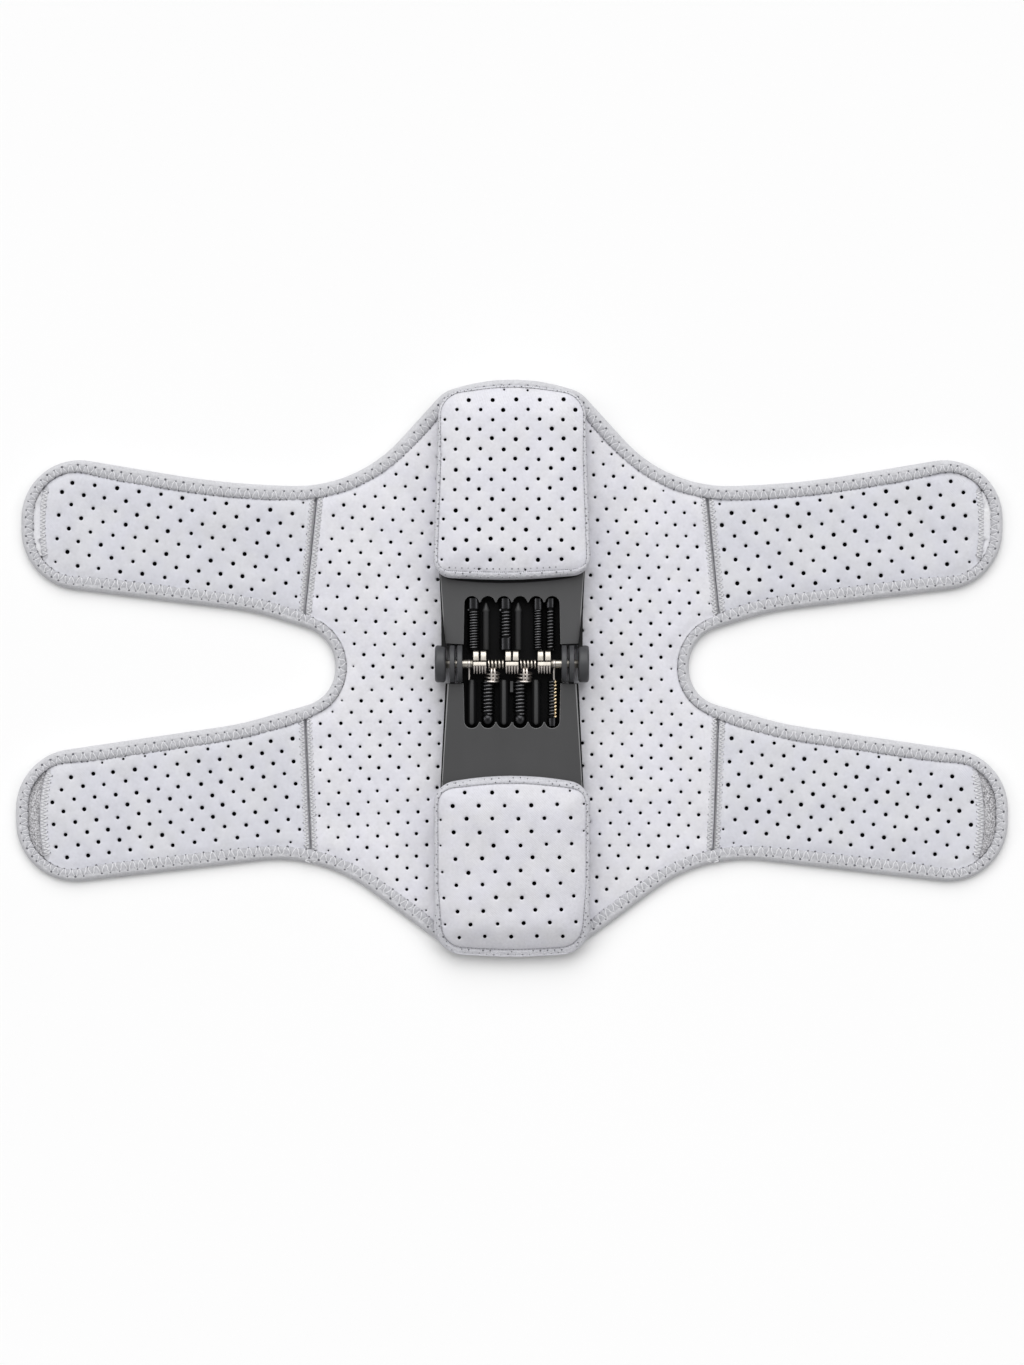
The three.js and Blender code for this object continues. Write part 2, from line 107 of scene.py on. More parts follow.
PIN_RADIUS = 2.1
PIN_HALF = 36
BORE_RADIUS = 2.4
WELL_PITCH = 8
WELL_COUNT = 6
WELL_HALF = WELL_PITCH * WELL_COUNT / 2
WELL_FLOOR = 1.2
SCALLOP = 3.6
ROD_Z = HINGE_Z - 4

# Sizes of what only shows here
OUTLINE_STEP = 0.68
BINDING_WIDTH = 7.4
BINDING_LAP = 1.6
TAPE_GATHER = 1.9
SEAM_ROOM = 4.3
SEAM_STEP = 0.95
CLOTH_LOW = 0.02
CLOTH_SPACING = 3.6
PAD_SPACING = 2.6
TAB_SPACING = 1.6
TAB_TUCKED = 1.6
PANEL_STEP = 1.6
NOTCH_HALF = 14
NOTCH_X = 95
FLAT_HALF = 41
FLAT_TOP = 4.7
STITCH_PITCH = 4.5
TAB_TUCK = 6.0
ZIG_MIDDLE = 0.7
ZIG_REACH = 0.3
ZIG_PULL = 0.5
ZIG_THREAD = 0.24
ZIG_MARK = 0.56
ZIG_STEPS = 10
ZIG_PRESS = 0.5
ZIG_SWAY = 0.35
ZIG_KEPT = 0.96
TURN_REACH = 8
TURN_SPAN = 60
TIGHT_TURN = 0.034
PAD_SEAM = 5.8
FAR_SEAM = 2.2
PAD_RISE = 8.7
PAD_EDGE = 14.0
PAD_STEP = 0.9
RIM_WIDTH = 2.3
MOUTH_RIM = 1.5
RIM_MARK = 0.42
RIM_SEAM_MARK = 0.24
MOUTH_MARK = 0.34
MOUTH_REACH = 3
BASTED_MARK = 0.36
BASTED_IN = 1.5
BASTED_STEP = 3.1
BASTED_REACH = 4
TILT_FADE = 30
FAR_FADE = 26
MOUTH_FADE = 6
FAR_RIM_START = 36
FAR_RIM_FADE = 22
MOUTH_SHADOW_HALF = 35
PIN_WAIST = 19
WAIST_RADIUS = 1.5
SHARP_ANGLE = 75
BEVEL_ANGLE = 50
Lamp = namedtuple("Lamp", "name energy spread way")
LAMPS = [
    Lamp("key", 1.95, 62, (0.05, -0.9, -1.0)),
    Lamp("left_panel", 0.3, 20, (1.0, -0.1, -0.62)),
    Lamp("right_panel", 0.22, 20, (-1.0, -0.1, -0.8)),
]
SKY_LOW = 0.14
SKY_RISE = 0.72
FLOOR_HALF = 40
CAMERA_HEIGHT = 2000
CAMERA_Y = -7.25
SENSOR_WIDTH = 36
PHOTO_WIDTH = 512
SIDES = ((-1, "left"), (1, "right"))
LADDER_THREAD = 0.27
LADDER_LIFT = 0.32
LADDER_NEAR = 0.9
LADDER_FAR = 3.1
LADDER_MARK = 0.42
HOLE_RADIUS = 1.0
WRAP_HOLE_RADIUS = 0.83
HOLE_LIP = 0.17
HOLE_COLLAR = 1.1
HOLE_DIMPLE = 0.42
HOLE_JITTER = 0.22
HOLE_ROOM = 2.9
HOLE_MARGIN = 2.6
HOLE_SIZES = (0.88, 1.12)
MIDDLE_ROOM = 2.6
MARK_SIZES = (0.65, 1.25)
MARK_LIFT = 0.12
BORDER_STEP = 1.3
BORDER_RINGS = (0.25, 0.6, 1.4, 3.0)
GRID_ROOM = 4.4
SEAM_BAND = 3.35
EDGE_FLAT = 1.2
EDGE_FADE = 1.6
MIDDLE_RIPPLE = 0.1
END_PRESS = 0.8
END_FADE = 0.6
BAND_PRESS = 0.4
END_ROOM = 1.4
SEAM_GROOVE = 1.5
GROOVE_HALF = 0.24
SEAM_PRESS = 0.5
PRESS_HALF = 3.3
Punching = namedtuple("Punching", "across along slope lean bend fan x y")
PUNCHING = {
    "wrap_left": Punching(9.87, 5.65, 0.012, 0.05, 0.021, 0.085, 69.3, 0.7),
    "wrap_right": Punching(9.83, 5.57, -0.048, 0.012, 0.031, -0.013, 69.5, 0.1),
    "strap_upper": Punching(10.94, 5.83, 0.141, 0.084, 0.0, 0.0, 171.3, 68.4),
    "strap_lower": Punching(10.53, 5.65, -0.12, -0.08, 0.0, 0.0, 171.0, -65.6),
    "pad_upper": Punching(11.76, 4.98, 0.003, -0.013, 0.0, 0.0, 1.5, 93.5),
    "pad_lower": Punching(12.94, 6.53, 0.018, 0.045, 0.0, 0.0, -2.3, -94.2),
}


# Lines of points, as arrays of x and y
def both_halves(corners):
    left = [Corner(-c.x, c.y, c.r) for c in corners if c.x > 0]
    return left + corners[::-1]


def rounded(corners):
    """A closed line, counter-clockwise, with each corner turned into an arc of its own radius."""
    points = []
    for i, corner in enumerate(corners):
        here = Vector((corner.x, corner.y))
        before = (Vector(corners[i - 1][:2]) - here).normalized()
        after = (Vector(corners[(i + 1) % len(corners)][:2]) - here).normalized()
        half = before.angle(after) / 2
        centre = here + (before + after).normalized() * corner.r / math.sin(half)
        start = here + before * corner.r / math.tan(half) - centre
        sweep = math.copysign(math.pi - 2 * half, start.cross(here - centre))
        steps = max(3, int(abs(sweep) * math.sqrt(corner.r) * 2))
        for k in range(steps + 1):
            points.append(centre + Matrix.Rotation(sweep * k / steps, 2) @ start)
    return np.array(points)


def segments(line, closed=True):
    """The starts and the ends of a line's straight parts."""
    return (line, np.roll(line, -1, axis=0)) if closed else (line[:-1], line[1:])


def lengths(line, closed=True):
    starts, ends = segments(line, closed)
    return np.linalg.norm(ends - starts, axis=1)


def resampled(line, step, closed=True):
    """The same line with points an even step apart."""
    chain = np.vstack([line, line[:1]]) if closed else line
    at = np.concatenate([[0], np.cumsum(lengths(chain, False))])
    count = max(2, round(at[-1] / step))
    wanted = np.linspace(0, at[-1], count + 1)
    even = np.column_stack([np.interp(wanted, at, chain[:, axis]) for axis in (0, 1)])
    return even[:-1] if closed else even


def outward(line, closed=True):
    """Unit normals to the right of the way the line runs, which is outwards on a closed one."""
    if closed:
        along = np.roll(line, -1, axis=0) - np.roll(line, 1, axis=0)
    else:
        along = np.gradient(line, axis=0)
    normals = np.column_stack([along[:, 1], -along[:, 0]])
    return normals / np.linalg.norm(normals, axis=1)[:, None]


def moved_in(line, distance):
    return line - outward(line) * np.reshape(distance, (-1, 1))


def area_of(line):
    a, b = segments(line)
    return abs(float((a[:, 0] * b[:, 1] - b[:, 0] * a[:, 1]).sum())) / 2


def inside(points, line):
    """Which of the points lie within a closed line."""
    x, y = points[:, :1], points[:, 1:2]
    a, b = segments(line)
    spans = (a[:, 1] > y) != (b[:, 1] > y)
    rise = np.where(b[:, 1] == a[:, 1], 1e-9, b[:, 1] - a[:, 1])
    crossing = a[:, 0] + (y - a[:, 1]) * (b[:, 0] - a[:, 0]) / rise
    return ((spans & (x < crossing)).sum(axis=1) % 2) == 1


def distance_to(points, line, closed=True):
    """How far each point lies from a line."""
    a, b = segments(line, closed)
    along = b - a
    best = np.full(len(points), 1e9)
    for start in range(0, len(points), 2000):
        part = points[start : start + 2000, None, :]
        share = ((part - a) * along).sum(axis=2) / np.maximum((along**2).sum(axis=1), 1e-12)
        foot = a + np.clip(share, 0, 1)[..., None] * along
        best[start : start + 2000] = np.linalg.norm(part - foot, axis=2).min(axis=1)
    return best


def seam_x(strap, y):
    (x0, y0), (x1, y1) = strap.seam_top, strap.seam_foot
    return x0 + (np.asarray(y) - y0) * (x1 - x0) / (y1 - y0)


# Meshes
def linked(name, data):
    """A new object in the scene."""
    thing = bpy.data.objects.new(name, data)
    bpy.context.scene.collection.objects.link(thing)
    return thing


def circle(centre, first, second, radius, sides):
    turns = [2 * math.pi * k / sides for k in range(sides)]
    return [centre + (first * math.cos(a) + second * math.sin(a)) * radius for a in turns]


class Build:
    """Collects the vertices and faces of one piece from several forms."""

    def __init__(self):
        self.vertices = []
        self.faces = []
        self.slots = []

    def add(self, vertices, faces, slot=0):
        base = len(self.vertices)
        self.vertices.extend(tuple(v) for v in vertices)
        self.faces.extend(tuple(base + i for i in face) for face in faces)
        self.slots.extend([slot] * len(faces))

    def grid(self, rows, slot=0, round_rows=False, round_columns=False):
        """Skins rows of equally many points."""
        count = len(rows[0])
        faces = []
        for r in range(len(rows) if round_rows else len(rows) - 1):
            below = r * count
            above = ((r + 1) % len(rows)) * count
            for c in range(count if round_columns else count - 1):
                d = (c + 1) % count
                faces.append((below + c, below + d, above + d, above + c))
        self.add([p for row in rows for p in row], faces, slot)

    def tube(self, path, radius, sides, slot=0):
        """A round strand along a path of points. The radius is one number or one for each point."""
        path = [Vector(p) for p in path]
        radii = np.broadcast_to(radius, len(path))
        rows = []
        normal = None
        for i, point in enumerate(path):
            along = (path[min(i + 1, len(path) - 1)] - path[max(i - 1, 0)]).normalized()
            if normal is None:
                normal = along.orthogonal().normalized()
            normal = (normal - along * normal.dot(along)).normalized()
            rows.append(circle(point, normal, along.cross(normal), float(radii[i]), sides))
        first = len(self.vertices)
        self.grid(rows, slot, round_columns=True)
        last = len(self.vertices) - sides
        self.faces.append(tuple(first + k for k in reversed(range(sides))))
        self.faces.append(tuple(last + k for k in range(sides)))
        self.slots += [slot, slot]

    def lathe(self, profile, origin, axis, sides, slot=0):
        """A turned form: profile rows of distance along the axis and radius, from a point along an axis."""
        axis = Vector(axis).normalized()
        first = axis.orthogonal().normalized()
        second = axis.cross(first)
        places = [(Vector(origin) + axis * along, radius) for along, radius in profile]
        rows = [circle(centre, first, second, radius, sides) for centre, radius in places if radius > 0]
        base = len(self.vertices)
        self.grid(rows, slot, round_columns=True)
        for end, row in ((0, base), (-1, base + (len(rows) - 1) * sides)):
            centre, radius = places[end]
            if radius == 0:
                middle = len(self.vertices)
                self.vertices.append(tuple(centre))
                for k in range(sides):
                    pair = (row + k, row + (k + 1) % sides)
                    self.faces.append((*(pair if end else pair[::-1]), middle))
                    self.slots.append(slot)

    def piece(self, name, materials, slot, node=None, sharp=SHARP_ANGLE):
        """A mesh object in metres, riding on the one body of the brace, that may stand for a CAD node."""
        mesh = bpy.data.meshes.new(name)
        mesh.from_pydata((np.asarray(self.vertices, dtype=float) * MM).tolist(), [], self.faces)
        for material in materials:
            mesh.materials.append(material)
        mesh.polygons.foreach_set("material_index", np.asarray(self.slots, dtype=np.int32))
        mesh.shade_smooth()
        mesh.set_sharp_from_angle(angle=math.radians(sharp))
        piece = linked(name, mesh)
        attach(piece, "root")
        if node:
            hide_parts(node)
        return piece


def softened(piece, width, segments):
    """Rounds the hard edges of a piece and keeps its flats flat."""
    bevel = piece.modifiers.new("edges", "BEVEL")
    bevel.width = width * MM
    bevel.segments = segments
    bevel.limit_method = "ANGLE"
    bevel.angle_limit = math.radians(BEVEL_ANGLE)
    bevel.harden_normals = True


# Shader maths: a socket that takes part in Python expressions
class Field:
    def __init__(self, shader, socket):
        self.shader = shader
        self.socket = socket

    def _math(self, operation, first, second):
        return self.shader.node("ShaderNodeMath", {"operation": operation}, {0: first, 1: second})

    def __add__(self, other):
        return self._math("ADD", self, other)

    def __sub__(self, other):
        return self._math("SUBTRACT", self, other)

    def __rsub__(self, other):
        return self._math("SUBTRACT", other, self)

    def __mul__(self, other):
        return self._math("MULTIPLY", self, other)

    __radd__ = __add__
    __rmul__ = __mul__

    def between(self, low, high):
        """0 below low, 1 above high, with a smooth step."""
        values = {"Value": self, "From Min": low, "From Max": high}
        return self.shader.node("ShaderNodeMapRange", {"interpolation_type": "SMOOTHSTEP"}, values)


class Nodes:
    """A tree of shader nodes."""

    def __init__(self, tree):
        self.tree = tree

    def node(self, kind, settings, values, output=0):
        node = self.tree.nodes.new(kind)
        for key, value in settings.items():
            setattr(node, key, value)
        for key, value in values.items():
            if isinstance(value, Field):
                self.tree.links.new(value.socket, node.inputs[key])
            else:
                node.inputs[key].default_value = value
        return Field(self, node.outputs[output])


class Shader(Nodes):
    """One Principled material and the nodes that feed it."""

    def __init__(self, name, **constants):
        self.material = bpy.data.materials.new(name)
        self.material.use_nodes = True
        super().__init__(self.material.node_tree)
        self.surface = self.tree.nodes["Principled BSDF"]
        for socket, value in constants.items():
            self.surface.inputs[socket.replace("_", " ")].default_value = value

    def place(self):
        return self.node("ShaderNodeTexCoord", {}, {}, "Object")

    def noise(self, size, detail, roughness=0.5, place=None):
        """Noise whose features are about the given size in millimetres."""
        place = place or self.place()
        values = {"Vector": place, "Scale": 1 / (size * MM), "Detail": detail, "Roughness": roughness}
        return self.node("ShaderNodeTexNoise", {}, values, "Fac")

    def multiplied(self, first, second):
        """A place or a colour times another, axis by axis."""
        return self.node("ShaderNodeVectorMath", {"operation": "MULTIPLY"}, {0: first, 1: second})

    def ribs(self, size, axis):
        """Parallel ribs of a size in millimetres along one axis."""
        settings = {"wave_type": "BANDS", "bands_direction": axis}
        values = {"Scale": 0.314 / (size * MM), "Vector": self.place()}
        return self.node("ShaderNodeTexWave", settings, values, "Fac")

    def mix(self, share, first, second):
        return self.node("ShaderNodeMix", {"data_type": "RGBA"}, {"Factor": share, 6: first, 7: second}, 2)

    def graded(self, share, colour, dark, light):
        """A colour between a darker and a lighter version of itself."""
        return self.mix(share, scaled(colour, dark), scaled(colour, light))

    def finish(self, colours, roughness, relief=None, depth=0.0, strength=1.0):
        """Feeds the surface, with relief of a depth in millimetres, and gives the material."""
        inputs = {"Base Color": colours, "Roughness": roughness}
        if relief is not None:
            values = {"Height": relief, "Distance": depth * MM, "Strength": strength}
            inputs["Normal"] = self.node("ShaderNodeBump", {}, values)
        for socket, field in inputs.items():
            self.tree.links.new(field.socket, self.surface.inputs[socket])
        return self.material


def scaled(colour, factor):
    return tuple(c * factor for c in colour) + (1.0,)


# Materials of the brace
def foam_cloth(name, colour):
    """Brushed knit laminated on foam: soft cool and warm blotches, a fine nap and a faint knit."""
    shader = Shader(name, Sheen_Weight=0.18, Sheen_Roughness=0.5, Specular_IOR_Level=0.2)
    blotch = shader.noise(13, 4, 0.6)
    nap = shader.noise(1.3, 4, 0.7)
    knit = shader.ribs(0.62, "DIAGONAL")
    r, g, b = colour
    cool = (r * 0.992, g * 0.992, b * 1.01, 1)
    warm = (r * 1.01, g * 1.008, b, 1)
    hue = shader.mix(shader.noise(17, 2).between(0.35, 0.65), cool, warm)
    shade = (blotch.between(0.3, 0.7) * 0.22 + nap * 1.1 + knit * 0.1).between(0.16, 1.16)
    relief = nap * 0.7 + knit * 0.3 + shader.noise(3.2, 3) * 0.8
    return shader.finish(shader.multiplied(hue, 0.89 + shade * 0.2), 0.78 + nap * 0.16, relief, 0.17, 0.75)


def sewn_cloth(name, colour):
    """The cloth under a close row of stitches: pressed and grainy, and a little darker as painted shade of
    the stitches.
    """
    shader = Shader(name, Specular_IOR_Level=0.2)
    grain = shader.noise(0.9, 4, 0.75)
    pull = shader.noise(2.4, 2)
    colours = shader.graded((grain * 1.2 + pull * 0.5).between(0.5, 1.15), colour, 0.72, 1.06)
    return shader.finish(colours, 0.82 + grain * 0.12, grain + pull, 0.4, 0.9)


def knit_tape(name, colour):
    """Stretch binding tape: fine cross ribs and a slightly felted face."""
    shader = Shader(name, Sheen_Weight=0.12, Specular_IOR_Level=0.2)
    ribs = shader.ribs(0.75, "X") * shader.ribs(0.75, "Y")
    felt = shader.noise(1.0, 4, 0.75)
    shade = ribs * 0.2 + felt * 1.1 + shader.noise(9, 3) * 0.35
    colours = shader.graded(shade.between(0.4, 1.2), colour, 0.8, 1.12)
    return shader.finish(colours, 0.82 + felt * 0.12, ribs * 0.4 + felt * 1.1, 0.22, 0.85)


def loop_cloth(name, colour):
    """Brushed loop pile, with painted shade between its tufts."""
    shader = Shader(name, Sheen_Weight=0.25, Specular_IOR_Level=0.15)
    values = {"Vector": shader.place(), "Scale": 1 / (0.8 * MM), "Randomness": 0.9}
    cells = shader.node("ShaderNodeTexVoronoi", {}, values, "Distance")
    tufts = shader.noise(0.9, 5, 0.75)
    # Darker away from each tuft's middle: painted shade between the tufts
    colours = shader.graded((tufts * 1.1 - cells * 0.45).between(0.08, 0.58), colour, 0.42, 1.42)
    return shader.finish(colours, 0.9 + tufts * 0.08, tufts - cells, 0.45)


def flecked(name, noise, dark, light, rough, **constants):
    """A matt material that varies between two colours and between two numbers of roughness."""
    shader = Shader(name, **constants)
    fleck = shader.noise(*noise)
    return shader.finish(shader.mix(fleck, dark, light), rough[0] + fleck * (rough[1] - rough[0]))


def sewing_thread(name, colour):
    dark, light = scaled(colour, 0.85), scaled(colour, 1.08)
    return flecked(name, (0.25, 2), dark, light, (0.55, 0.75), Sheen_Weight=0.1)


def moulded_plastic(name, colour, roughness, gloss=0.45):
    """Satin moulded plastic: a fine spark-eroded grain, flow shading and a few rubbed places."""
    shader = Shader(name, Specular_IOR_Level=gloss)
    grain = shader.noise(0.35, 2, 0.6)
    flow = shader.noise(14, 3, place=shader.multiplied(shader.place(), (1, 0.35, 1)))
    rubbed = shader.noise(2.2, 4, 0.7).between(0.58, 0.75)
    finish = roughness + grain * 0.1 + flow * 0.08 - rubbed * 0.08
    return shader.finish(shader.graded(flow, colour, 0.88, 1.15), finish, grain, 0.05, 0.35)


ALONG_X = (6, 1, 1)
ALONG_Y = (1, 6, 1)


def metal(name, colour, roughness, streak):
    """Plated or blackened wire and turned parts, with fine drawing marks."""
    shader = Shader(name, Metallic=1.0)
    marks = shader.noise(0.6, 3, 0.6, shader.multiplied(shader.place(), streak))
    colours = shader.graded(shader.noise(3.5, 3).between(0.35, 0.7), colour, 0.82, 1.0)
    return shader.finish(colours, roughness + marks * 0.14, marks, 0.02, 0.3)


MATT = {"Specular_IOR_Level": 0.1}
WRAP_CLOTH = foam_cloth("wrap_cloth", (0.68, 0.677, 0.715))
STRAP_CLOTH = foam_cloth("strap_cloth", (0.618, 0.62, 0.66))
PAD_CLOTH = foam_cloth("pad_cloth", (0.66, 0.657, 0.695))
SEWN_CLOTH_SHADE = sewn_cloth("sewn_cloth", (0.58, 0.58, 0.61))
BINDING_TAPE = knit_tape("binding_tape", (0.59, 0.59, 0.615))
SEWN_TAPE_SHADE = sewn_cloth("sewn_tape", (0.53, 0.53, 0.56))
RIM_TAPE = knit_tape("rim_tape", (0.61, 0.61, 0.65))
LOOP_CLOTH = loop_cloth("loop_cloth", (0.52, 0.515, 0.535))
PLAIN_CLOTH = foam_cloth("plain_tab_cloth", (0.7, 0.7, 0.72))
# Near-black tape for the strip under the upper pocket's mouth: a painted shadow
MOUTH_SHADOW_CLOTH = knit_tape("pad_lining", (0.006, 0.006, 0.007))
# Near-black for the holes: dark foam on their walls and painted shade at their floors
FOAM_AND_SHADE_DARK, FOAM_AND_SHADE_LIGHT = (0.002, 0.002, 0.0025, 1), (0.009, 0.009, 0.011, 1)
DARK_FOAM_AND_HOLE_SHADE = flecked("foam_core", (0.35, 3, 0.7), FOAM_AND_SHADE_DARK, FOAM_AND_SHADE_LIGHT, (0.85, 0.95), **MATT)
THREAD_PALE = sewing_thread("thread_pale", (0.76, 0.76, 0.78))
THREAD_GREY = sewing_thread("thread_grey", (0.4, 0.4, 0.42))
PIT_DARK, PIT_LIGHT = (0.0612, 0.0612, 0.0723, 1), (0.1946, 0.1946, 0.2159, 1)
# Dark grey for the needle pits and the seams' groove: painted shade
STITCH_SHADE = flecked("needle_mark", (0.4, 2), PIT_DARK, PIT_LIGHT, (0.85, 0.95), **MATT)
LEAF_PLASTIC = moulded_plastic("leaf_plastic", (0.058, 0.058, 0.06), 0.42)
# A darker copy of the leaf plastic for the lower leaf: painted shade
SHADED_LEAF_PLASTIC = moulded_plastic("dark_leaf_plastic", (0.046, 0.046, 0.0475), 0.42)
# Lighter plastic on the inner chamfer round the leaf and the well: a painted highlight along the edges
EDGE_HIGHLIGHT_PLASTIC = moulded_plastic("rubbed_plastic", (0.25, 0.25, 0.255), 0.35)
KNUCKLE_PLASTIC = moulded_plastic("knuckle_plastic", (0.048, 0.049, 0.053), 0.4)
GUIDE_PLASTIC = moulded_plastic("guide_plastic", (0.026, 0.026, 0.027), 0.4)
# Near-black plastic: the spring well, the rod cores and the black guides, and painted shade on the leaf's
# outer chamfer and sides, the knuckle necks, the stops, the pin's waist and the saddles' cores
SHADE_BLACK_PLASTIC = moulded_plastic("well_plastic", (0.003, 0.003, 0.0034), 0.5, 0.12)
BLACK_STEEL = metal("black_steel", (0.12, 0.12, 0.125), 0.1, ALONG_Y)
DULL_STEEL = metal("dull_steel", (0.045, 0.045, 0.048), 0.2, ALONG_Y)
# Brass colour for the thin helix that stands for a coil's golden highlight: a painted highlight
GOLD_HIGHLIGHT_METAL = metal("brassed_steel", (0.92, 0.74, 0.48), 0.15, ALONG_Y)
NICKEL = metal("nickel", (0.66, 0.615, 0.55), 0.16, ALONG_X)
SATIN_NICKEL = metal("satin_nickel", (0.56, 0.525, 0.47), 0.3, ALONG_X)
# A paler copy of nickel for the tines, hooks and eyes: painted light on faces the lamps leave dim
LIT_NICKEL = metal("pale_nickel", (0.9, 0.84, 0.79), 0.28, ALONG_X)


# Cloth lines
OUTLINE = resampled(rounded(both_halves(WRAP_CORNERS)), OUTLINE_STEP)
INNER = moved_in(OUTLINE, BINDING_WIDTH - BINDING_LAP)


def split_cloth():
    """Cuts the cloth within the binding into the wrap and the open lines of the four straps."""
    wrap = []
    lobes = {}
    for x, y in resampled(INNER, PANEL_STEP):
        strap = STRAPS[0] if y > 0 else STRAPS[1]
        side = 1 if x > 0 else -1
        if abs(x) < seam_x(strap, y) and not (abs(y) < NOTCH_HALF and abs(x) > NOTCH_X):
            wrap.append((x, y))
        else:
            lobes.setdefault((strap.name, side), []).append((x, y))
    return np.array(wrap), {key: np.array(points) for key, points in lobes.items()}


def strap_panel(strap, side, lobe):
    """The perforated part of a strap, the crescent beyond its sewn end, and the line of that end."""
    centre = np.array([side * strap.tip_centre[0], strap.tip_centre[1]])
    radius = strap.tip_radius + strap.end_band
    far = np.linalg.norm(lobe - centre, axis=1) > radius
    first, last = np.flatnonzero(far)[[0, -1]]
    angles = np.unwrap([math.atan2(*(lobe[i] - centre)[::-1]) for i in (first, last)])
    turns = np.linspace(angles[0], angles[1], round(radius * abs(angles[1] - angles[0]) / 0.9))
    ray = np.column_stack([np.cos(turns), np.sin(turns)])
    end = centre + radius * ray
    panel = np.vstack([lobe[:first], end, lobe[last + 1 :]])
    crescent = np.vstack([lobe[first : last + 1], (centre + (radius - TAB_TUCK) * ray)[::-1]])
    return panel, crescent, end, end - strap.end_band * ray


def hole_grid(line, rows, radius, side=1, margin=HOLE_MARGIN, clear_of=()):
    """Perforations as rows of x, y and radius, staggered along the grain, which is mirrored on the left. The
    rows slope and fan out, the columns lean and bend. They stop short of the edge and of the sewn lines that
    they keep clear of, and those next to the edge are drawn small."""
    reach = np.linalg.norm(np.ptp(line, axis=0))
    row_count = int(reach / rows.along)
    column_count = int(reach / rows.across)
    places = []
    for r in range(-row_count, row_count + 1):
        for c in range(-column_count, column_count + 1):
            u = (c + (0.5 if r % 2 else 0)) * rows.across
            v = r * rows.along
            x = side * (rows.x + u - rows.lean * v - rows.bend * v * v / 100)
            y = rows.y + v + rows.slope * u + rows.fan * u * v / 100
            places.append((x + rng.gauss(0, HOLE_JITTER), y + rng.gauss(0, HOLE_JITTER)))
    places = np.array(places)
    places = places[inside(places, line)]
    for sewn, room in clear_of:
        places = places[distance_to(places, sewn, False) > room]
    gap = distance_to(places, line)
    places, gap = places[gap > margin], gap[gap > margin]
    drawn = np.clip(0.5 + (gap - margin) / 5, 0.5, 1)
    sizes = np.array([radius * rng.uniform(*HOLE_SIZES) for _ in places]) * drawn
    return np.column_stack([places, sizes])


Wave = namedtuple("Wave", "heading length phase depth")
WAVES = [
    Wave(rng.uniform(0, math.pi), rng.uniform(17, 46), rng.uniform(0, 2 * math.pi), rng.uniform(0.05, 0.11))
    for _ in range(9)
]


def ripple(points):
    """The slow unevenness of padded cloth, in millimetres."""
    total = np.zeros(len(points))
    for wave in WAVES:
        along = points[:, 0] * math.cos(wave.heading) + points[:, 1] * math.sin(wave.heading)
        total += wave.depth * np.sin(2 * math.pi * along / wave.length + wave.phase)
    return total


def near_holes(points, holes):
    """How far each point lies from the middle of the nearest hole."""
    if not len(holes):
        return np.full(len(points), 1e3)
    tree = kdtree.KDTree(len(holes))
    for i, (x, y, _) in enumerate(holes):
        tree.insert((x, y, 0), i)
    tree.balance()
    return np.array([tree.find((x, y, 0))[2] for x, y in points])


RING = 10
RING_TURNS = [2 * math.pi * k / RING for k in range(RING)]


def ring_round(x, y, radius):
    return [(x + radius * math.cos(a), y + radius * math.sin(a)) for a in RING_TURNS]


def filler_points(border, holes, spacing):
    """Plan points between the border and the holes: lines along the border, then a staggered grid."""
    low, high = border.min(axis=0), border.max(axis=0)
    columns = np.arange(low[0], high[0], spacing)
    rows = np.arange(low[1], high[1], spacing * 0.87)
    grid = np.array([(x + (spacing / 2 if k % 2 else 0), y) for k, y in enumerate(rows) for x in columns])
    grid = grid[inside(grid, border)]
    grid = grid[distance_to(grid, border) > GRID_ROOM]
    rings = np.vstack([moved_in(border, d) for d in BORDER_RINGS])
    rings = rings[inside(rings, border)]
    rings = rings[distance_to(rings, border) > 0.22]
    points = np.vstack([rings, grid])
    return points[near_holes(points, holes) > HOLE_ROOM]


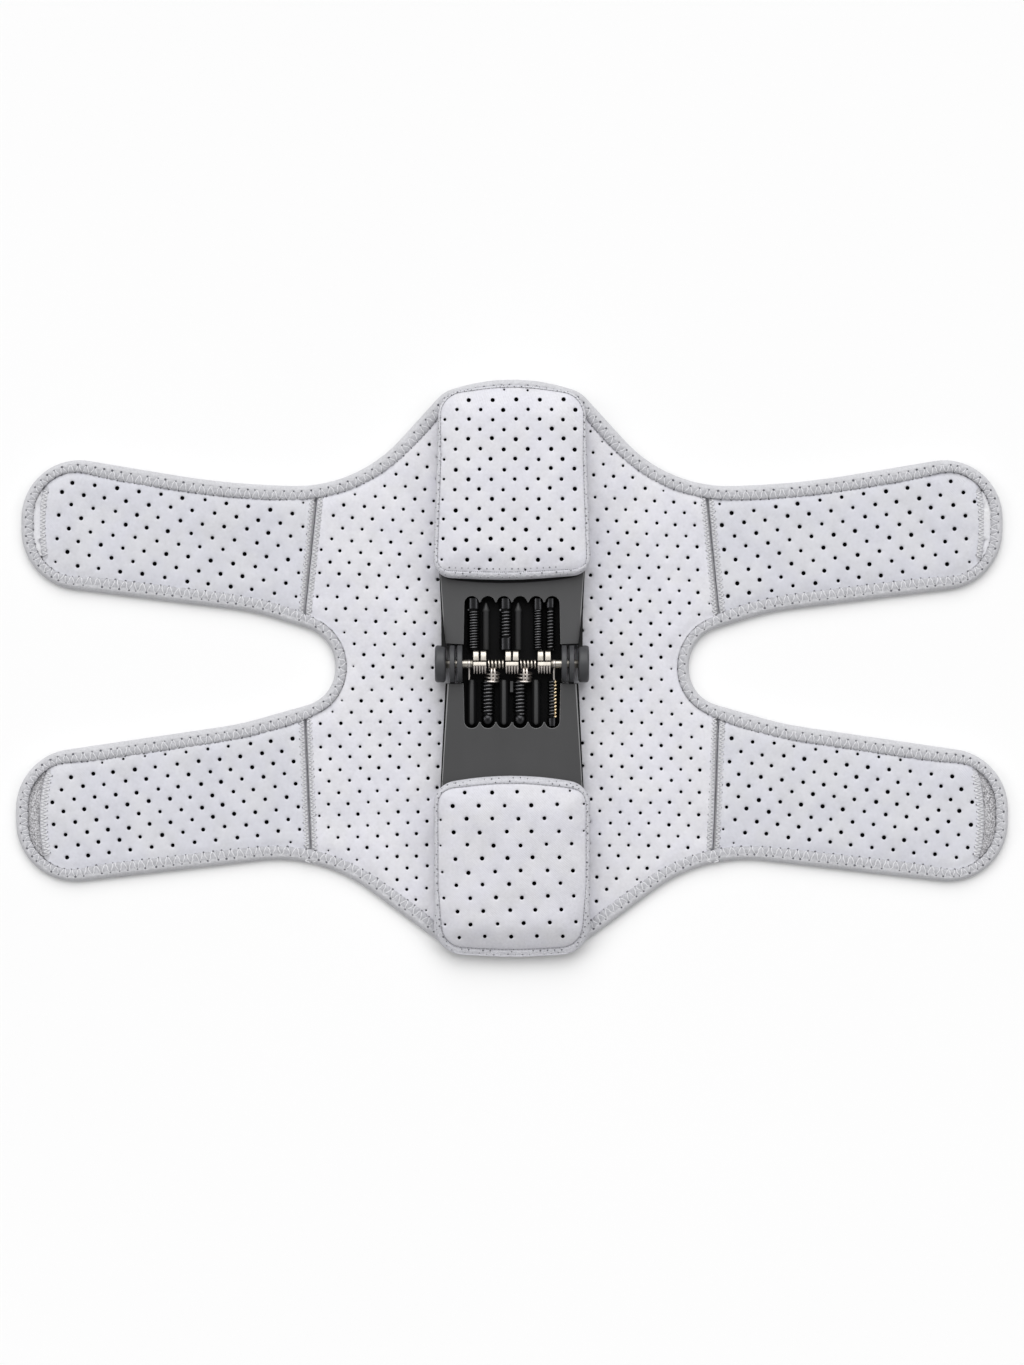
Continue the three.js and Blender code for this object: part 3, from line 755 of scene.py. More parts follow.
def perforated(name, line, holes, top, bottom, spacing, materials, slot, node, sewn=()):
    """A padded sheet with punched holes. Its faces are heights over the plan, and each hole is a dark well
    from either face: dark foam on its walls, and painted shade at its near-black floor halfway down. Bands
    along the sewn lines, given with their widths, take the third material, darkened as painted shade of
    the stitches."""
    border = resampled(line, BORDER_STEP)
    points = [tuple(p) for p in border]
    edges = [(i, (i + 1) % len(border)) for i in range(len(border))]
    for x, y, radius in holes:
        base = len(points)
        points += ring_round(x, y, radius + HOLE_LIP) + ring_round(x, y, radius + HOLE_COLLAR)
        edges += [(base + k, base + (k + 1) % RING) for k in range(RING)]
    points += [tuple(p) for p in filler_points(border, holes, spacing)]
    flat, _, triangles, sources, _, _ = delaunay_2d_cdt([Vector(p) for p in points], edges, [], 1, 1e-5)
    flat = np.array([tuple(p) for p in flat])
    triangles = np.array(triangles)
    place = {source: i for i, found in enumerate(sources) for source in found}
    starts = [len(border) + 2 * RING * h for h in range(len(holes))]
    rings = [[place[start + k] for k in range(RING)] for start in starts]
    owner = np.full(len(flat), -1)
    for h, ring in enumerate(rings):
        owner[ring] = h
    owned = owner[triangles]
    triangles = triangles[~((owned[:, 0] >= 0) & (owned == owned[:, :1]).all(axis=1))]

    heights = top(flat) - HOLE_DIMPLE * np.exp(-((near_holes(flat, holes) / 2.0) ** 2))
    depths = bottom(flat)
    banded = np.zeros(len(triangles), dtype=bool)
    for seam, width in sewn:
        banded |= (distance_to(flat, seam, False) < width)[triangles].all(axis=1)
    build = Build()
    build.add(np.column_stack([flat, heights]), triangles.tolist())
    build.slots = [2 if band else 0 for band in banded]
    build.add(np.column_stack([flat, depths]), triangles[:, ::-1].tolist())
    count = len(flat)
    for ring, (x, y, radius) in zip(rings, holes):
        middle = 0.5 * (heights[ring].mean() + depths[ring].mean())
        for shift, edge_z, down in ((0, heights[ring], -1), (count, depths[ring], 1)):
            start = len(build.vertices)
            lip = [(*p, z + 0.3 * down) for p, z in zip(ring_round(x, y, radius), edge_z)]
            # The hole is closed halfway by a near-black floor: painted shade in place of the hole's depth
            floor = [(*p, middle - 0.15 * down) for p in ring_round(x, y, radius * 0.93)]
            build.vertices += lip + floor
            faces = []
            for k in range(RING):
                n = (k + 1) % RING
                faces.append(((ring[k] + shift, ring[n] + shift, start + n, start + k), 0))
                faces.append(((start + k, start + n, start + RING + n, start + RING + k), 1))
            faces.append((tuple(start + RING + k for k in range(RING)), 1))
            build.faces += [face if down < 0 else face[::-1] for face, _ in faces]
            build.slots += [kind for _, kind in faces]
    rim = [place[i] for i in range(len(border))]
    for k, here in enumerate(rim):
        there = rim[(k + 1) % len(rim)]
        build.faces.append((here, here + count, there + count, there))
        build.slots.append(0)
    return build.piece(name, materials, slot, node)


def stitches(build, pairs, lift, radius):
    """Short threads that arch from one needle place to the next. Each pair holds two [x, y, z] ends."""
    for start, end in pairs:
        a, b = np.array(start), np.array(end)
        path = []
        for share in (0.0, 0.12, 0.5, 0.88, 1.0):
            arch = lift * (4 * share * (1 - share)) ** 0.5 - (0.18 if share in (0.0, 1.0) else 0.0)
            path.append(a + (b - a) * share + np.array([0, 0, arch]))
        build.tube(path, radius, 5)


def ladder(build, first, second, top):
    """A close zigzag between two lines on the cloth, with needle marks along the second."""
    first_z, second_z = top(first) + 0.1, top(second) + 0.1
    pairs = []
    for k in range(0, min(len(first), len(second)) - 2, 2):
        a = (*first[k], first_z[k])
        b = (*second[k + 1], second_z[k + 1])
        c = (*first[k + 2], first_z[k + 2])
        pairs += [(a, b), (b, c)]
    stitches(build, pairs, LADDER_LIFT, LADDER_THREAD)
    marks(build, second[1:-1:4], second_z[1:-1:4] + MARK_LIFT, LADDER_MARK)


def marks(build, plan, heights, radius):
    """Needle pits on a surface as flat dark discs, in the second material: painted shade of the pits."""
    for (x, y), z in zip(plan, heights):
        grow = radius * rng.uniform(*MARK_SIZES)
        ring = [(px, py, z) for px, py in ring_round(x, y, grow)[::2]]
        count = len(ring)
        build.add([*ring, (x, y, z + 0.03)], [(k, (k + 1) % count, count) for k in range(count)], 1)


def cloth_top(seams):
    """The height of the padded cloth: pressed down along the binding and along the sewn seams."""

    def height(points):
        middle = np.abs(points[:, 0]) < FLAT_HALF
        z = CLOTH_TOP + np.where(middle, MIDDLE_RIPPLE, 1.0) * ripple(points)
        z = z - np.exp(-np.maximum(distance_to(points, INNER) - EDGE_FLAT, 0) / EDGE_FADE)
        for seam in seams:
            gap = distance_to(points, seam, False)
            z = z - SEAM_GROOVE * np.exp(-((gap / GROOVE_HALF) ** 2))
            z = z - SEAM_PRESS * np.exp(-((gap / PRESS_HALF) ** 6))
        return np.where(middle, np.minimum(z, FLAT_TOP), z)

    return height


def cloth_under(points):
    return np.full(len(points), CLOTH_LOW)


def seam_line(strap, side):
    ys = np.linspace(*strap.seam_ends, 60)
    return np.column_stack([side * seam_x(strap, ys), ys])


def lay_cloth(line):
    """Works out the box and the area of a panel's flat cut, which nothing uses."""
    size = tuple(np.ptp(line, axis=0) * MM)
    area_of(line) * MM * MM


def make_wrap():
    wrap_line, lobes = split_cloth()
    seams = {(strap.name, side): seam_line(strap, side) for strap in STRAPS for side in (-1, 1)}
    top = cloth_top(list(seams.values()))
    clear_of = [(seam, SEAM_ROOM) for seam in seams.values()]
    halves = []
    for side, word in SIDES:
        half = hole_grid(wrap_line, PUNCHING[f"wrap_{word}"], WRAP_HOLE_RADIUS, side, clear_of=clear_of)
        halves.append(half[half[:, 0] * side > MIDDLE_ROOM])
    holes = np.vstack(halves)
    looks = ([WRAP_CLOTH, DARK_FOAM_AND_HOLE_SHADE, SEWN_CLOTH_SHADE], "wrap_cloth", "wrap_panel")
    sewn = [(seam, SEAM_BAND) for seam in seams.values()]
    wrap = perforated("wrap_cover", wrap_line, holes, top, cloth_under, CLOTH_SPACING, *looks, sewn)
    work = Build()
    for seam in seams.values():
        line = resampled(seam, SEAM_STEP, False)
        normals = outward(line, False)
        for way in (-1, 1):
            ladder(work, line + normals * way * LADDER_NEAR, line + normals * way * LADDER_FAR, top)
        # A thin dark strand in the seam's groove: a painted shadow of the groove
        work.tube([(x, y, CLOTH_TOP - 0.75) for x, y in line], 0.2, 5, 1)
    threads = work.piece("seam_stitching", [THREAD_PALE, STITCH_SHADE], "binding_cloth")
    lay_cloth(wrap_line)
    for strap in STRAPS:
        for side, word in SIDES:
            make_strap(strap, side, word, lobes[(strap.name, side)], seams[(strap.name, side)])


def make_strap(strap, side, word, lobe, seam):
    panel, crescent, end, band = strap_panel(strap, side, lobe)
    place = f"{strap.name}_{word}"
    open_top = cloth_top([seam])

    def panel_top(points):
        gap = distance_to(points, end, False)
        pressed = END_PRESS * np.exp(-gap / END_FADE)
        pressed += BAND_PRESS * np.exp(-((gap / (strap.end_band + 0.5)) ** 6))
        return open_top(points) - pressed

    def tab_top(points):
        return np.where(inside(points, panel), TAB_TUCKED, open_top(points) - strap.pile_drop)

    def tab_under(points):
        return cloth_under(points) + 0.35

    clear_of = [(seam, SEAM_ROOM), (end, strap.end_band + END_ROOM)]
    holes = hole_grid(panel, PUNCHING[f"strap_{strap.name}"], HOLE_RADIUS, side, clear_of=clear_of)
    looks = ([STRAP_CLOTH, DARK_FOAM_AND_HOLE_SHADE, SEWN_CLOTH_SHADE], "wrap_cloth", f"strap_{place}")
    sewn = [(seam, SEAM_BAND), (end, SEAM_BAND)]
    name = f"strap_cover_{place}"
    piece = perforated(name, panel, holes, panel_top, cloth_under, CLOTH_SPACING, *looks, sewn)
    work = Build()
    ladder(work, end - 0.1 * (end - band), band, panel_top)
    threads = work.piece(f"tip_stitching_{place}", [THREAD_PALE, STITCH_SHADE], "binding_cloth")
    lay_cloth(panel)

    pile = PLAIN_CLOTH if strap.name == "upper" else LOOP_CLOTH
    looks = ([pile], "tab_cloth", f"tip_tab_{place}")
    none = np.zeros((0, 3))
    tab = perforated(f"tip_pile_{place}", crescent, none, tab_top, tab_under, TAB_SPACING, *looks)
    lay_cloth(crescent)


# The tape's section from its inner edge over the top and round to its lower inner edge
Section = namedtuple("Section", "share z")
TAPE_SECTION = [
    Section(*row)
    for row in (
        (1.0, 3.2), (1.0, 4.15), (0.95, 4.55), (0.88, 4.8), (0.8, 4.95), (0.72, 5.0), (0.64, 4.98),
        (0.56, 4.92), (0.48, 4.86), (0.42, 4.8), (0.38, 4.78), (0.32, 4.68), (0.24, 4.42), (0.15, 3.95),
        (0.07, 3.3), (0.02, 2.7), (0.0, 2.1), (0.03, 1.3), (0.12, 0.5), (0.28, 0.15), (1.0, 0.15), (1.0, 0.8),
    )
]
TAPE_TOP = 10


def tape_width(line):
    """The tape lies wide on straight edges and is drawn narrower round curves."""
    normals = outward(line)
    turned = np.roll(normals, -TURN_REACH, axis=0) - np.roll(normals, TURN_REACH, axis=0)
    turn = np.linalg.norm(turned, axis=1) / (2 * TURN_REACH * OUTLINE_STEP)
    kernel = np.hanning(TURN_SPAN + 1)
    around = np.concatenate([turn[-TURN_SPAN:], turn, turn[:TURN_SPAN]])
    smooth = np.convolve(around, kernel / kernel.sum(), "same")[TURN_SPAN:-TURN_SPAN]
    return BINDING_WIDTH - TAPE_GATHER * np.clip(smooth / TIGHT_TURN, 0, 1)


def make_binding():
    """The folded tape round the edge. A zigzag draws in its inner half, which puffs up between threads."""
    widths = tape_width(OUTLINE)
    normals = outward(OUTLINE)
    count = len(OUTLINE)
    total = lengths(OUTLINE).sum()
    repeats = round(total / STITCH_PITCH)
    phase = np.arange(count) / count * repeats * 2 * math.pi
    steep = ZIG_REACH * widths * 2 * math.pi / STITCH_PITCH * np.sin(phase)
    rows = []
    for i in range(count):
        row = []
        for k, section in enumerate(TAPE_SECTION):
            share, z = section
            if 0 < k <= TAPE_TOP:
                across = (share - ZIG_MIDDLE - ZIG_REACH * math.cos(phase[i])) * widths[i]
                z -= ZIG_PULL * math.exp(-(across**2) / (1 + steep[i] ** 2) / ZIG_PRESS**2)
            if share > 0.9 and k < 3:
                share -= 0.04 * math.cos(phase[i])
            row.append((*(OUTLINE[i] - normals[i] * widths[i] * share), z))
        rows.append(row)
    build = Build()
    build.grid(rows, round_rows=True)
    across = len(TAPE_SECTION) - 1
    # The stitched inner half of the tape takes the darker sewn material: painted shade of the stitches
    build.slots = [1 if 1 <= k % across < TAPE_TOP - 2 else 0 for k in range(len(build.faces))]
    tape = build.piece("edge_tape", [BINDING_TAPE, SEWN_TAPE_SHADE], "binding_cloth", "edge_binding")

    work = Build()
    shares = [s.share for s in TAPE_SECTION[TAPE_TOP:0:-1]]
    levels = [s.z for s in TAPE_SECTION[TAPE_TOP:0:-1]]
    steps = repeats * ZIG_STEPS
    path = []
    pits = []
    for k in range(steps + 1):
        i = int(round(k / steps * count)) % count
        swing = math.cos(2 * math.pi * k / ZIG_STEPS)
        share = ZIG_MIDDLE + ZIG_REACH * swing
        x, y = OUTLINE[i] - normals[i] * widths[i] * share
        z = float(np.interp(share, shares, levels)) - 0.3 - 0.35 * abs(swing) ** 6
        path.append((x, y, z))
        if k % (ZIG_STEPS // 2) == 0 and rng.random() < ZIG_KEPT:
            sway = rng.gauss(0, ZIG_SWAY)
            pits.append((x + sway * normals[i][1], y - sway * normals[i][0], z + 0.52))
    work.tube(path, ZIG_THREAD, 5)
    pits = np.array(pits)
    marks(work, pits[:, :2], pits[:, 2], ZIG_MARK)
    threads = work.piece("edge_zigzag", [THREAD_PALE, STITCH_SHADE], "binding_cloth")
    bends = zip(TAPE_SECTION, TAPE_SECTION[1:])
    unfolded = sum(math.hypot((a.share - b.share) * widths.mean(), a.z - b.z) for a, b in bends)


# Padded pockets. The rolled edge's crown is in shares of its width and drops, its foot in millimetres
RIM_CROWN = [(0.88, 0.0), (0.72, 0.1), (0.5, -0.25), (0.28, -0.9)]
RIM_FOOT = [(0.1, 0.3), (0.4, -0.2), (0.75, -0.5), (0.9, -9.9)]


def make_pad(pad):
    """A flat foam pad in a sewn cover: the perforated face, the rolled edge and the stitches. It is thick at
    its open mouth over the leaf and drawn down where its far end is sewn to the wrap."""
    line = resampled(rounded(both_halves(pad.corners)), PAD_STEP)
    slope = (pad.far_seat - pad.mouth_seat) / (pad.far_y - pad.mouth_y)
    away = 1 if pad.name == "upper" else -1

    def past_mouth(points):
        return away * (points[:, 1] - pad.mouth_y)

    line[:, 1] += pad.tilt * line[:, 0] * np.clip(1 - past_mouth(line) / TILT_FADE, 0, 1)
    at_mouth = 1 - np.clip(past_mouth(line) / MOUTH_FADE + 0.4, 0, 1)
    at_far = np.clip((away * (line[:, 1] - pad.far_y) + FAR_RIM_START) / FAR_RIM_FADE, 0, 1)
    rim_width = RIM_WIDTH + MOUTH_RIM * at_mouth + pad.far_rim * at_far
    seam = moved_in(line, rim_width)

    def seat(points):
        return pad.mouth_seat + slope * (points[:, 1] - pad.mouth_y)

    def drawn_down(points):
        share = np.clip(1 - away * (pad.far_y - points[:, 1]) / FAR_FADE, 0, 1)
        return share * share * (3 - 2 * share)

    def seam_rise(points):
        return PAD_SEAM + (FAR_SEAM - PAD_SEAM) * drawn_down(points)

    def top(points):
        gap = distance_to(points, seam)
        share = np.clip(gap / (PAD_EDGE + 8 * drawn_down(points)), 0, 1)
        crown = 1 - (1 - share) ** 2
        low = seam_rise(points)
        rise = low + (PAD_RISE - low) * crown + 1.3 * ripple(points) * share
        return seat(points) + rise - 0.2 * np.exp(-((gap / 0.8) ** 2))

    def bottom(points):
        return seat(points) - 0.25

    holes = hole_grid(seam, PUNCHING[f"pad_{pad.name}"], HOLE_RADIUS, margin=0.9)
    looks = ([PAD_CLOTH, DARK_FOAM_AND_HOLE_SHADE], "pad_cloth", f"pad_{pad.name}")
    face = perforated(f"pad_cover_{pad.name}", seam, holes, top, bottom, PAD_SPACING, *looks)

    rim = Build()
    rows = []
    normals = outward(line)
    seats = seat(line)
    rises = seam_rise(line)
    for i, width in enumerate(rim_width):
        high = rises[i]
        profile = [(width + 0.5, 0.4), (width + 0.1, high - 0.6)]
        profile += [(width * share, high + drop) for share, drop in RIM_CROWN]
        profile += [(0.2, high * 0.62), (0.0, high * 0.35), *RIM_FOOT]
        row = []
        for inward, rise in profile:
            x, y = line[i] - normals[i] * inward
            on_leaf = away * (y - pad.mouth_y) < 5 and abs(x) < 36.8
            row.append((x, y, max(seats[i] + rise, LEAF_TOP + 0.35 if on_leaf else 4.75)))
        rows.append(row)
    rim.grid(rows, round_rows=True)
    roll = rim.piece(f"pad_edge_{pad.name}", [RIM_TAPE], "binding_cloth", f"pad_rim_{pad.name}")

    work = Build()
    sewn = resampled(moved_in(line, rim_width - 0.2), SEAM_STEP)
    levels = seat(sewn) + seam_rise(sewn) - 0.05
    pairs = []
    for k in range(0, len(sewn) - 1, 2):
        sway = 0.12 if k % 4 else -0.12
        pairs.append(((*(sewn[k] + sway), levels[k]), (*(sewn[k + 1] - sway), levels[k + 1])))
    stitches(work, pairs, 0.12, 0.18)
    marks(work, sewn[::2], levels[::2] + MARK_LIFT, RIM_SEAM_MARK)
    if pad.name == "upper":
        basted = resampled(moved_in(line, rim_width + BASTED_IN), BASTED_STEP)
        basted = basted[past_mouth(basted) < BASTED_REACH]
        marks(work, basted, top(basted) + 0.1, BASTED_MARK)
        mouth = past_mouth(sewn) < MOUTH_REACH
        marks(work, sewn[mouth], levels[mouth] + 0.2, MOUTH_MARK)
    shares, drops = zip(*RIM_CROWN[::-1])
    path = []
    for k in range(0, len(line), 2):
        share = 0.52 + (0.2 if k % 4 else -0.2) + rng.gauss(0, 0.05)
        x, y = line[k] - normals[k] * rim_width[k] * share
        path.append((x, y, seats[k] + rises[k] + float(np.interp(share, shares, drops)) + 0.04))
    work.tube([*path, path[0]], 0.15, 5, 2)
    pits = np.array([place for place in path if rng.random() < 0.6])
    marks(work, pits[:, :2], pits[:, 2] + 0.14, RIM_MARK)
    work.piece(f"pad_stitching_{pad.name}", [THREAD_GREY, STITCH_SHADE, THREAD_PALE], "binding_cloth")
    # The upper pocket gets a near-black strip below its mouth: a painted shadow
    if pad.name == "upper":
        make_mouth_shadow(line[past_mouth(line) < 1.2], away)


def make_mouth_shadow(mouth, away):
    """A near-black strip below the open mouth of the upper pocket, lying on the leaf: a painted shadow of the
    mouth.
    """
    rows = []
    for x, y in mouth:
        if abs(x) < MOUTH_SHADOW_HALF:
            out = 1.5 * max(0.0, 1 - abs(x / MOUTH_SHADOW_HALF) ** 4)
            profile = [(-1.0, 0.02), (out, 0.02), (out, 0.15), (out * 8 / 15, 0.4), (-1.0, 0.6)]
            rows.append([(x, y - away * reach, LEAF_TOP + z) for reach, z in profile])
    build = Build()
    build.grid(rows, round_columns=True)
    build.piece("pad_lining_upper", [MOUTH_SHADOW_CLOTH], "binding_cloth")


# The hinge
def extruded(build, first, second, slot=0):
    """Joins two rings of places, counter-clockwise seen from the second, and closes both."""
    count = len(first)
    faces = [tuple(reversed(range(count))), tuple(range(count, 2 * count))]
    faces += [(k, (k + 1) % count, count + (k + 1) % count, count + k) for k in range(count)]
    build.add([*first, *second], faces, slot)


def prism(build, plan, low, high, slot=0):
    """A plan of x and y places raised from a low to a high level, each one number or one for each place."""
    levels = [np.broadcast_to(level, len(plan)) for level in (low, high)]
    extruded(build, *[[(*p, z) for p, z in zip(plan, level)] for level in levels], slot)


def slab(build, profile, x0, x1):
    """A profile of y and z places, counter-clockwise seen from +X, drawn out along X."""
    extruded(build, *[[(x, y, z) for y, z in profile] for x in (x0, x1)])


def block(build, first, second, slot):
    """A box between two corners, for a form that gets its rounded edges later."""
    (x0, x1), (y0, y1), (z0, z1) = (sorted(pair) for pair in zip(first, second))
    prism(build, [(x0, y0), (x1, y0), (x1, y1), (x0, y1)], z0, z1, slot)


def well_edge(leaf):
    """The scalloped edge of the spring well, from left to right, in distances from the pin."""
    places = [(-WELL_HALF, RAIL_START)]
    for k in range(WELL_COUNT):
        x = (k + 0.5) * WELL_PITCH - WELL_HALF
        for turn in np.linspace(math.pi - 0.15, 0.15, 13):
            places.append((x + SCALLOP * math.cos(turn), leaf.well - SCALLOP + SCALLOP * math.sin(turn)))
    return places + [(WELL_HALF, RAIL_START)]


# Rows of the plate's top edge. Slot 1 is near-black, painted shade on the outer chamfer; slot 2 is lighter, a
# painted highlight on the inner chamfer
PlateRow = namedtuple("PlateRow", "outer_in well_in down slot")
PLATE_ROWS = [
    PlateRow(0.0, 0.0, 1.1, 1),
    PlateRow(1.0, 0.1, 0.45, 2),
    PlateRow(1.65, 0.33, 0.0, 0),
]
STOP_PLAN = [(32.6, 8), (35.0, 8), (35.2, 25), (34.8, 25)]
STOP_RISE = 3.5


def plate(build, plan, outer_count):
    """A flat moulding with two chamfers round its top: a near-black one over near-black sides, painted shade,
    then a lighter one, a painted highlight. The first places of the plan are its outside, the others the
    black wall of the well."""
    count = len(plan)
    base = len(build.vertices)
    build.vertices += [(x, y, LEAF_LOW + 1.0) for x, y in plan]
    on_outside = np.arange(count) < outer_count
    for row in PLATE_ROWS:
        line = moved_in(plan, np.where(on_outside, row.outer_in, row.well_in))
        build.vertices += [(x, y, LEAF_TOP - row.down) for x, y in line]
    for r, slot in enumerate((1, *[row.slot for row in PLATE_ROWS[:-1]])):
        at = base + r * count
        for k in range(count):
            n = (k + 1) % count
            build.faces.append((at + k, at + n, at + count + n, at + count + k))
            build.slots.append(slot)
    build.faces.append(tuple(base + k for k in reversed(range(count))))
    build.faces.append(tuple(at + count + k for k in range(count)))
    build.slots += [1, 0]


def make_leaf(leaf):
    """A leaf: a plate round the spring well, the well's thin floor and a tongue that runs into its pocket."""
    build = Build()

    def there(v):
        return HINGE_Y + leaf.way * v

    outer = [(leaf.near_half, RAIL_START), (leaf.mouth_half, leaf.mouth + 3)]
    outer += [(-x, v) for x, v in outer[::-1]]
    plan = np.array([(leaf.way * x, there(v)) for x, v in outer + well_edge(leaf)])
    plate(build, plan, len(outer))
    near = (-WELL_HALF - 1, there(0.4), LEAF_LOW)
    block(build, near, (WELL_HALF + 1, there(leaf.well + 4), LEAF_LOW + WELL_FLOOR), 1)
    if leaf.name == "lower":
        block(build, (-0.9, there(8.6), LEAF_LOW + 1), (0.5, there(14), ROD_Z + 1.2), 0)
    fall = (leaf.end_thick - LEAF_THICK) / (leaf.end - leaf.mouth)
    tongue = [(leaf.mouth_half - 0.9, leaf.mouth - 1), (leaf.end_half, leaf.end)]
    tongue += [(-x, v) for x, v in tongue[::-1]]
    levels = [LEAF_TOP - 0.05 + fall * max(0, v - leaf.mouth) for _, v in tongue]
    prism(build, [(leaf.way * x, there(v)) for x, v in tongue], LEAF_LOW, levels)
    # The lower leaf takes the darker copy of the plastic: painted shade
    plastic = LEAF_PLASTIC if leaf.name == "upper" else SHADED_LEAF_PLASTIC
    materials = [plastic, SHADE_BLACK_PLASTIC, EDGE_HIGHLIGHT_PLASTIC]
    build.piece(f"leaf_moulding_{leaf.name}", materials, "hinge_plastic", f"hinge_leaf_{leaf.name}", 25)

    knuckles = Build()
    for side in (-1, 1):
        for knuckle in (k for k in KNUCKLES if k.leaf == leaf.name):
            make_knuckle(knuckles, leaf, knuckle, side, there)
        if leaf.name == "upper":
            plan = [(side * x, there(v)) for x, v in STOP_PLAN[::side]]
            levels = [HINGE_Z + STOP_RISE if y < there(9) else LEAF_TOP + 0.05 for _, y in plan]
            # The stops take slot 1, near-black: painted shade on their sloping tops
            prism(knuckles, plan, LEAF_TOP - 0.4, levels, 1)
    black_parts = [KNUCKLE_PLASTIC, SHADE_BLACK_PLASTIC]
    softened(knuckles.piece(f"leaf_knuckles_{leaf.name}", black_parts, "hinge_plastic"), 0.3, 2)


def make_knuckle(build, leaf, knuckle, side, there):
    """One barrel of the hinge with rounded edges, and the neck that joins it to its leaf."""
    wide = knuckle.end - knuckle.start
    edge = knuckle.edge
    arc = []
    for turn in np.linspace(0, math.pi / 2, 6):
        arc.append((edge * (1 - math.sin(turn)), KNUCKLE_RADIUS - edge * (1 - math.cos(turn))))
    profile = [(0.0, BORE_RADIUS), *arc[::-1], *[(wide - along, radius) for along, radius in arc]]
    profile.append((wide, 0.0 if knuckle.closed else BORE_RADIUS))
    build.lathe(profile, (side * knuckle.start, HINGE_Y, HINGE_Z), (side, 0, 0), 48)
    neck_end = min(knuckle.end - 0.1, leaf.near_half - 0.3)
    # The neck takes slot 1, near-black: painted shade in the gaps between the knuckles
    near = (side * (knuckle.start + 0.1), there(0), LEAF_LOW + 0.2)
    block(build, near, (side * neck_end, there(11), LEAF_TOP - 0.6), 1)


def helix(start, end, radius, turns, end_radius=None):
    """The path of a coil between two places. It may taper."""
    a, b = Vector(start), Vector(end)
    axis = (b - a).normalized()
    first = axis.orthogonal().normalized()
    second = axis.cross(first)
    steps = int(turns * 16)
    path = []
    for k in range(steps + 1):
        share = k / steps
        angle = 2 * math.pi * turns * share
        reach = radius + ((end_radius or radius) - radius) * share
        path.append(a + (b - a) * share + (first * math.cos(angle) + second * math.sin(angle)) * reach)
    return path


def dome(length, radius, back, steps=7):
    """Profile rows of the rounded end of a rod."""
    turns = np.linspace(0, math.pi / 2, steps)[:-1]
    rows = [(length - back * (1 - math.sin(a)), radius * math.cos(a)) for a in turns]
    return rows + [(length, 0.0)]


# The pointed guide's end: distances back from its full length, and radii
POINTED_END = [(6.9, 1.5), (6.5, 1.7), (5.9, 1.7), (2.8, 0.55), (2.4, 0.3), (2.2, 0.0)]


def make_rods(leaf):
    """The rods in the spring well: slim grey guides, and rods with a coil and a smooth head."""
    along = Vector((0, leaf.way, 0))
    for k, kind in enumerate(leaf.rods):
        x = (k - WELL_COUNT / 2 + 0.5) * WELL_PITCH
        x += leaf.rod_pull * (-1 if k % 2 else 1)
        foot = Vector((x, HINGE_Y, ROD_Z)) + along * leaf.rod_start
        length = leaf.rod_tip - leaf.rod_start
        place = f"{leaf.name}_{k + 1}"
        rod = Build()
        if kind == "pointed":
            end = [(length - back, radius) for back, radius in POINTED_END]
            rod.lathe([(0, 0.0), (0, 1.2), (0.4, 1.5), *end], foot, along, 28)
        elif kind == "smooth":
            rod.lathe([(0, 0.0), (0, 1.8), (0.5, 2.3), *dome(length, 2.3, 2.3)], foot, along, 28, 1)
            # A grey rib along the top of the black rod: a painted highlight
            highlight_rib = foot + along * 0.2 + Vector((0, 0, 1.15))
            rod.lathe([(0, 0.0), (0, 1.2), (0.4, 1.35), *dome(length - 0.8, 1.35, 1.6)], highlight_rib, along, 24)
        if kind in ("pointed", "smooth"):
            materials = [GUIDE_PLASTIC, SHADE_BLACK_PLASTIC]
            rod.piece(f"guide_{place}", materials, "hinge_plastic", f"guide_rod_{place}")
            continue
        coil = SPRING_KINDS[kind]
        neck = length - coil.head
        wide = coil.reach + coil.wire
        cap = [(neck + 0.3, wide), (length - 0.3, wide), (length, wide - 0.3), (length, 0.0)]
        if kind == "ball":
            cap = [(neck + 0.5, 2.9), (neck + 1.2, 3.2), *dome(length, 3.2, 3.4, 9)]
        rod.lathe([(0, 0.0), (0, coil.reach - 0.5), (neck + 0.5, coil.reach - 0.5)], foot, along, 24, 1)
        rod.lathe([(neck, coil.reach - 0.6), *cap], foot, along, 32)
        if coil.sleeve:
            collar = [(0, 0.0), (0, wide - 0.3), (0.3, wide), (coil.sleeve, wide), (coil.sleeve, 1.5)]
            rod.lathe(collar, foot, along, 32)
        materials = [DULL_STEEL, SHADE_BLACK_PLASTIC]
        rod.piece(f"spring_core_{place}", materials, "black_steel", f"spring_rod_{place}", 30)
        wound = Build()
        first, last = coil.sleeve + 0.15, neck - 0.3
        path = helix(foot + along * first, foot + along * last, coil.reach, (last - first) / coil.pitch)
        wound.tube(path, coil.wire, 8)
        # A thin brass-coloured helix beside the black coil: a painted golden highlight along the coil's right
        # side
        if kind == "brassed":
            highlight_offset = Vector((1.55, 0, 1.0))
            path = helix(foot + along * 0.2 + highlight_offset, foot + along * last + highlight_offset, 0.62, last / 1.75)
            wound.tube(path, 0.55, 6, 1)
        wound.piece(f"coil_{place}", [BLACK_STEEL, GOLD_HIGHLIGHT_METAL], "black_steel", f"spring_{place}")


def round_pin(build, profile, x, sides, slot=0, axis=(1, 0, 0)):
    build.lathe(profile, (x, HINGE_Y, HINGE_Z), axis, sides, slot)


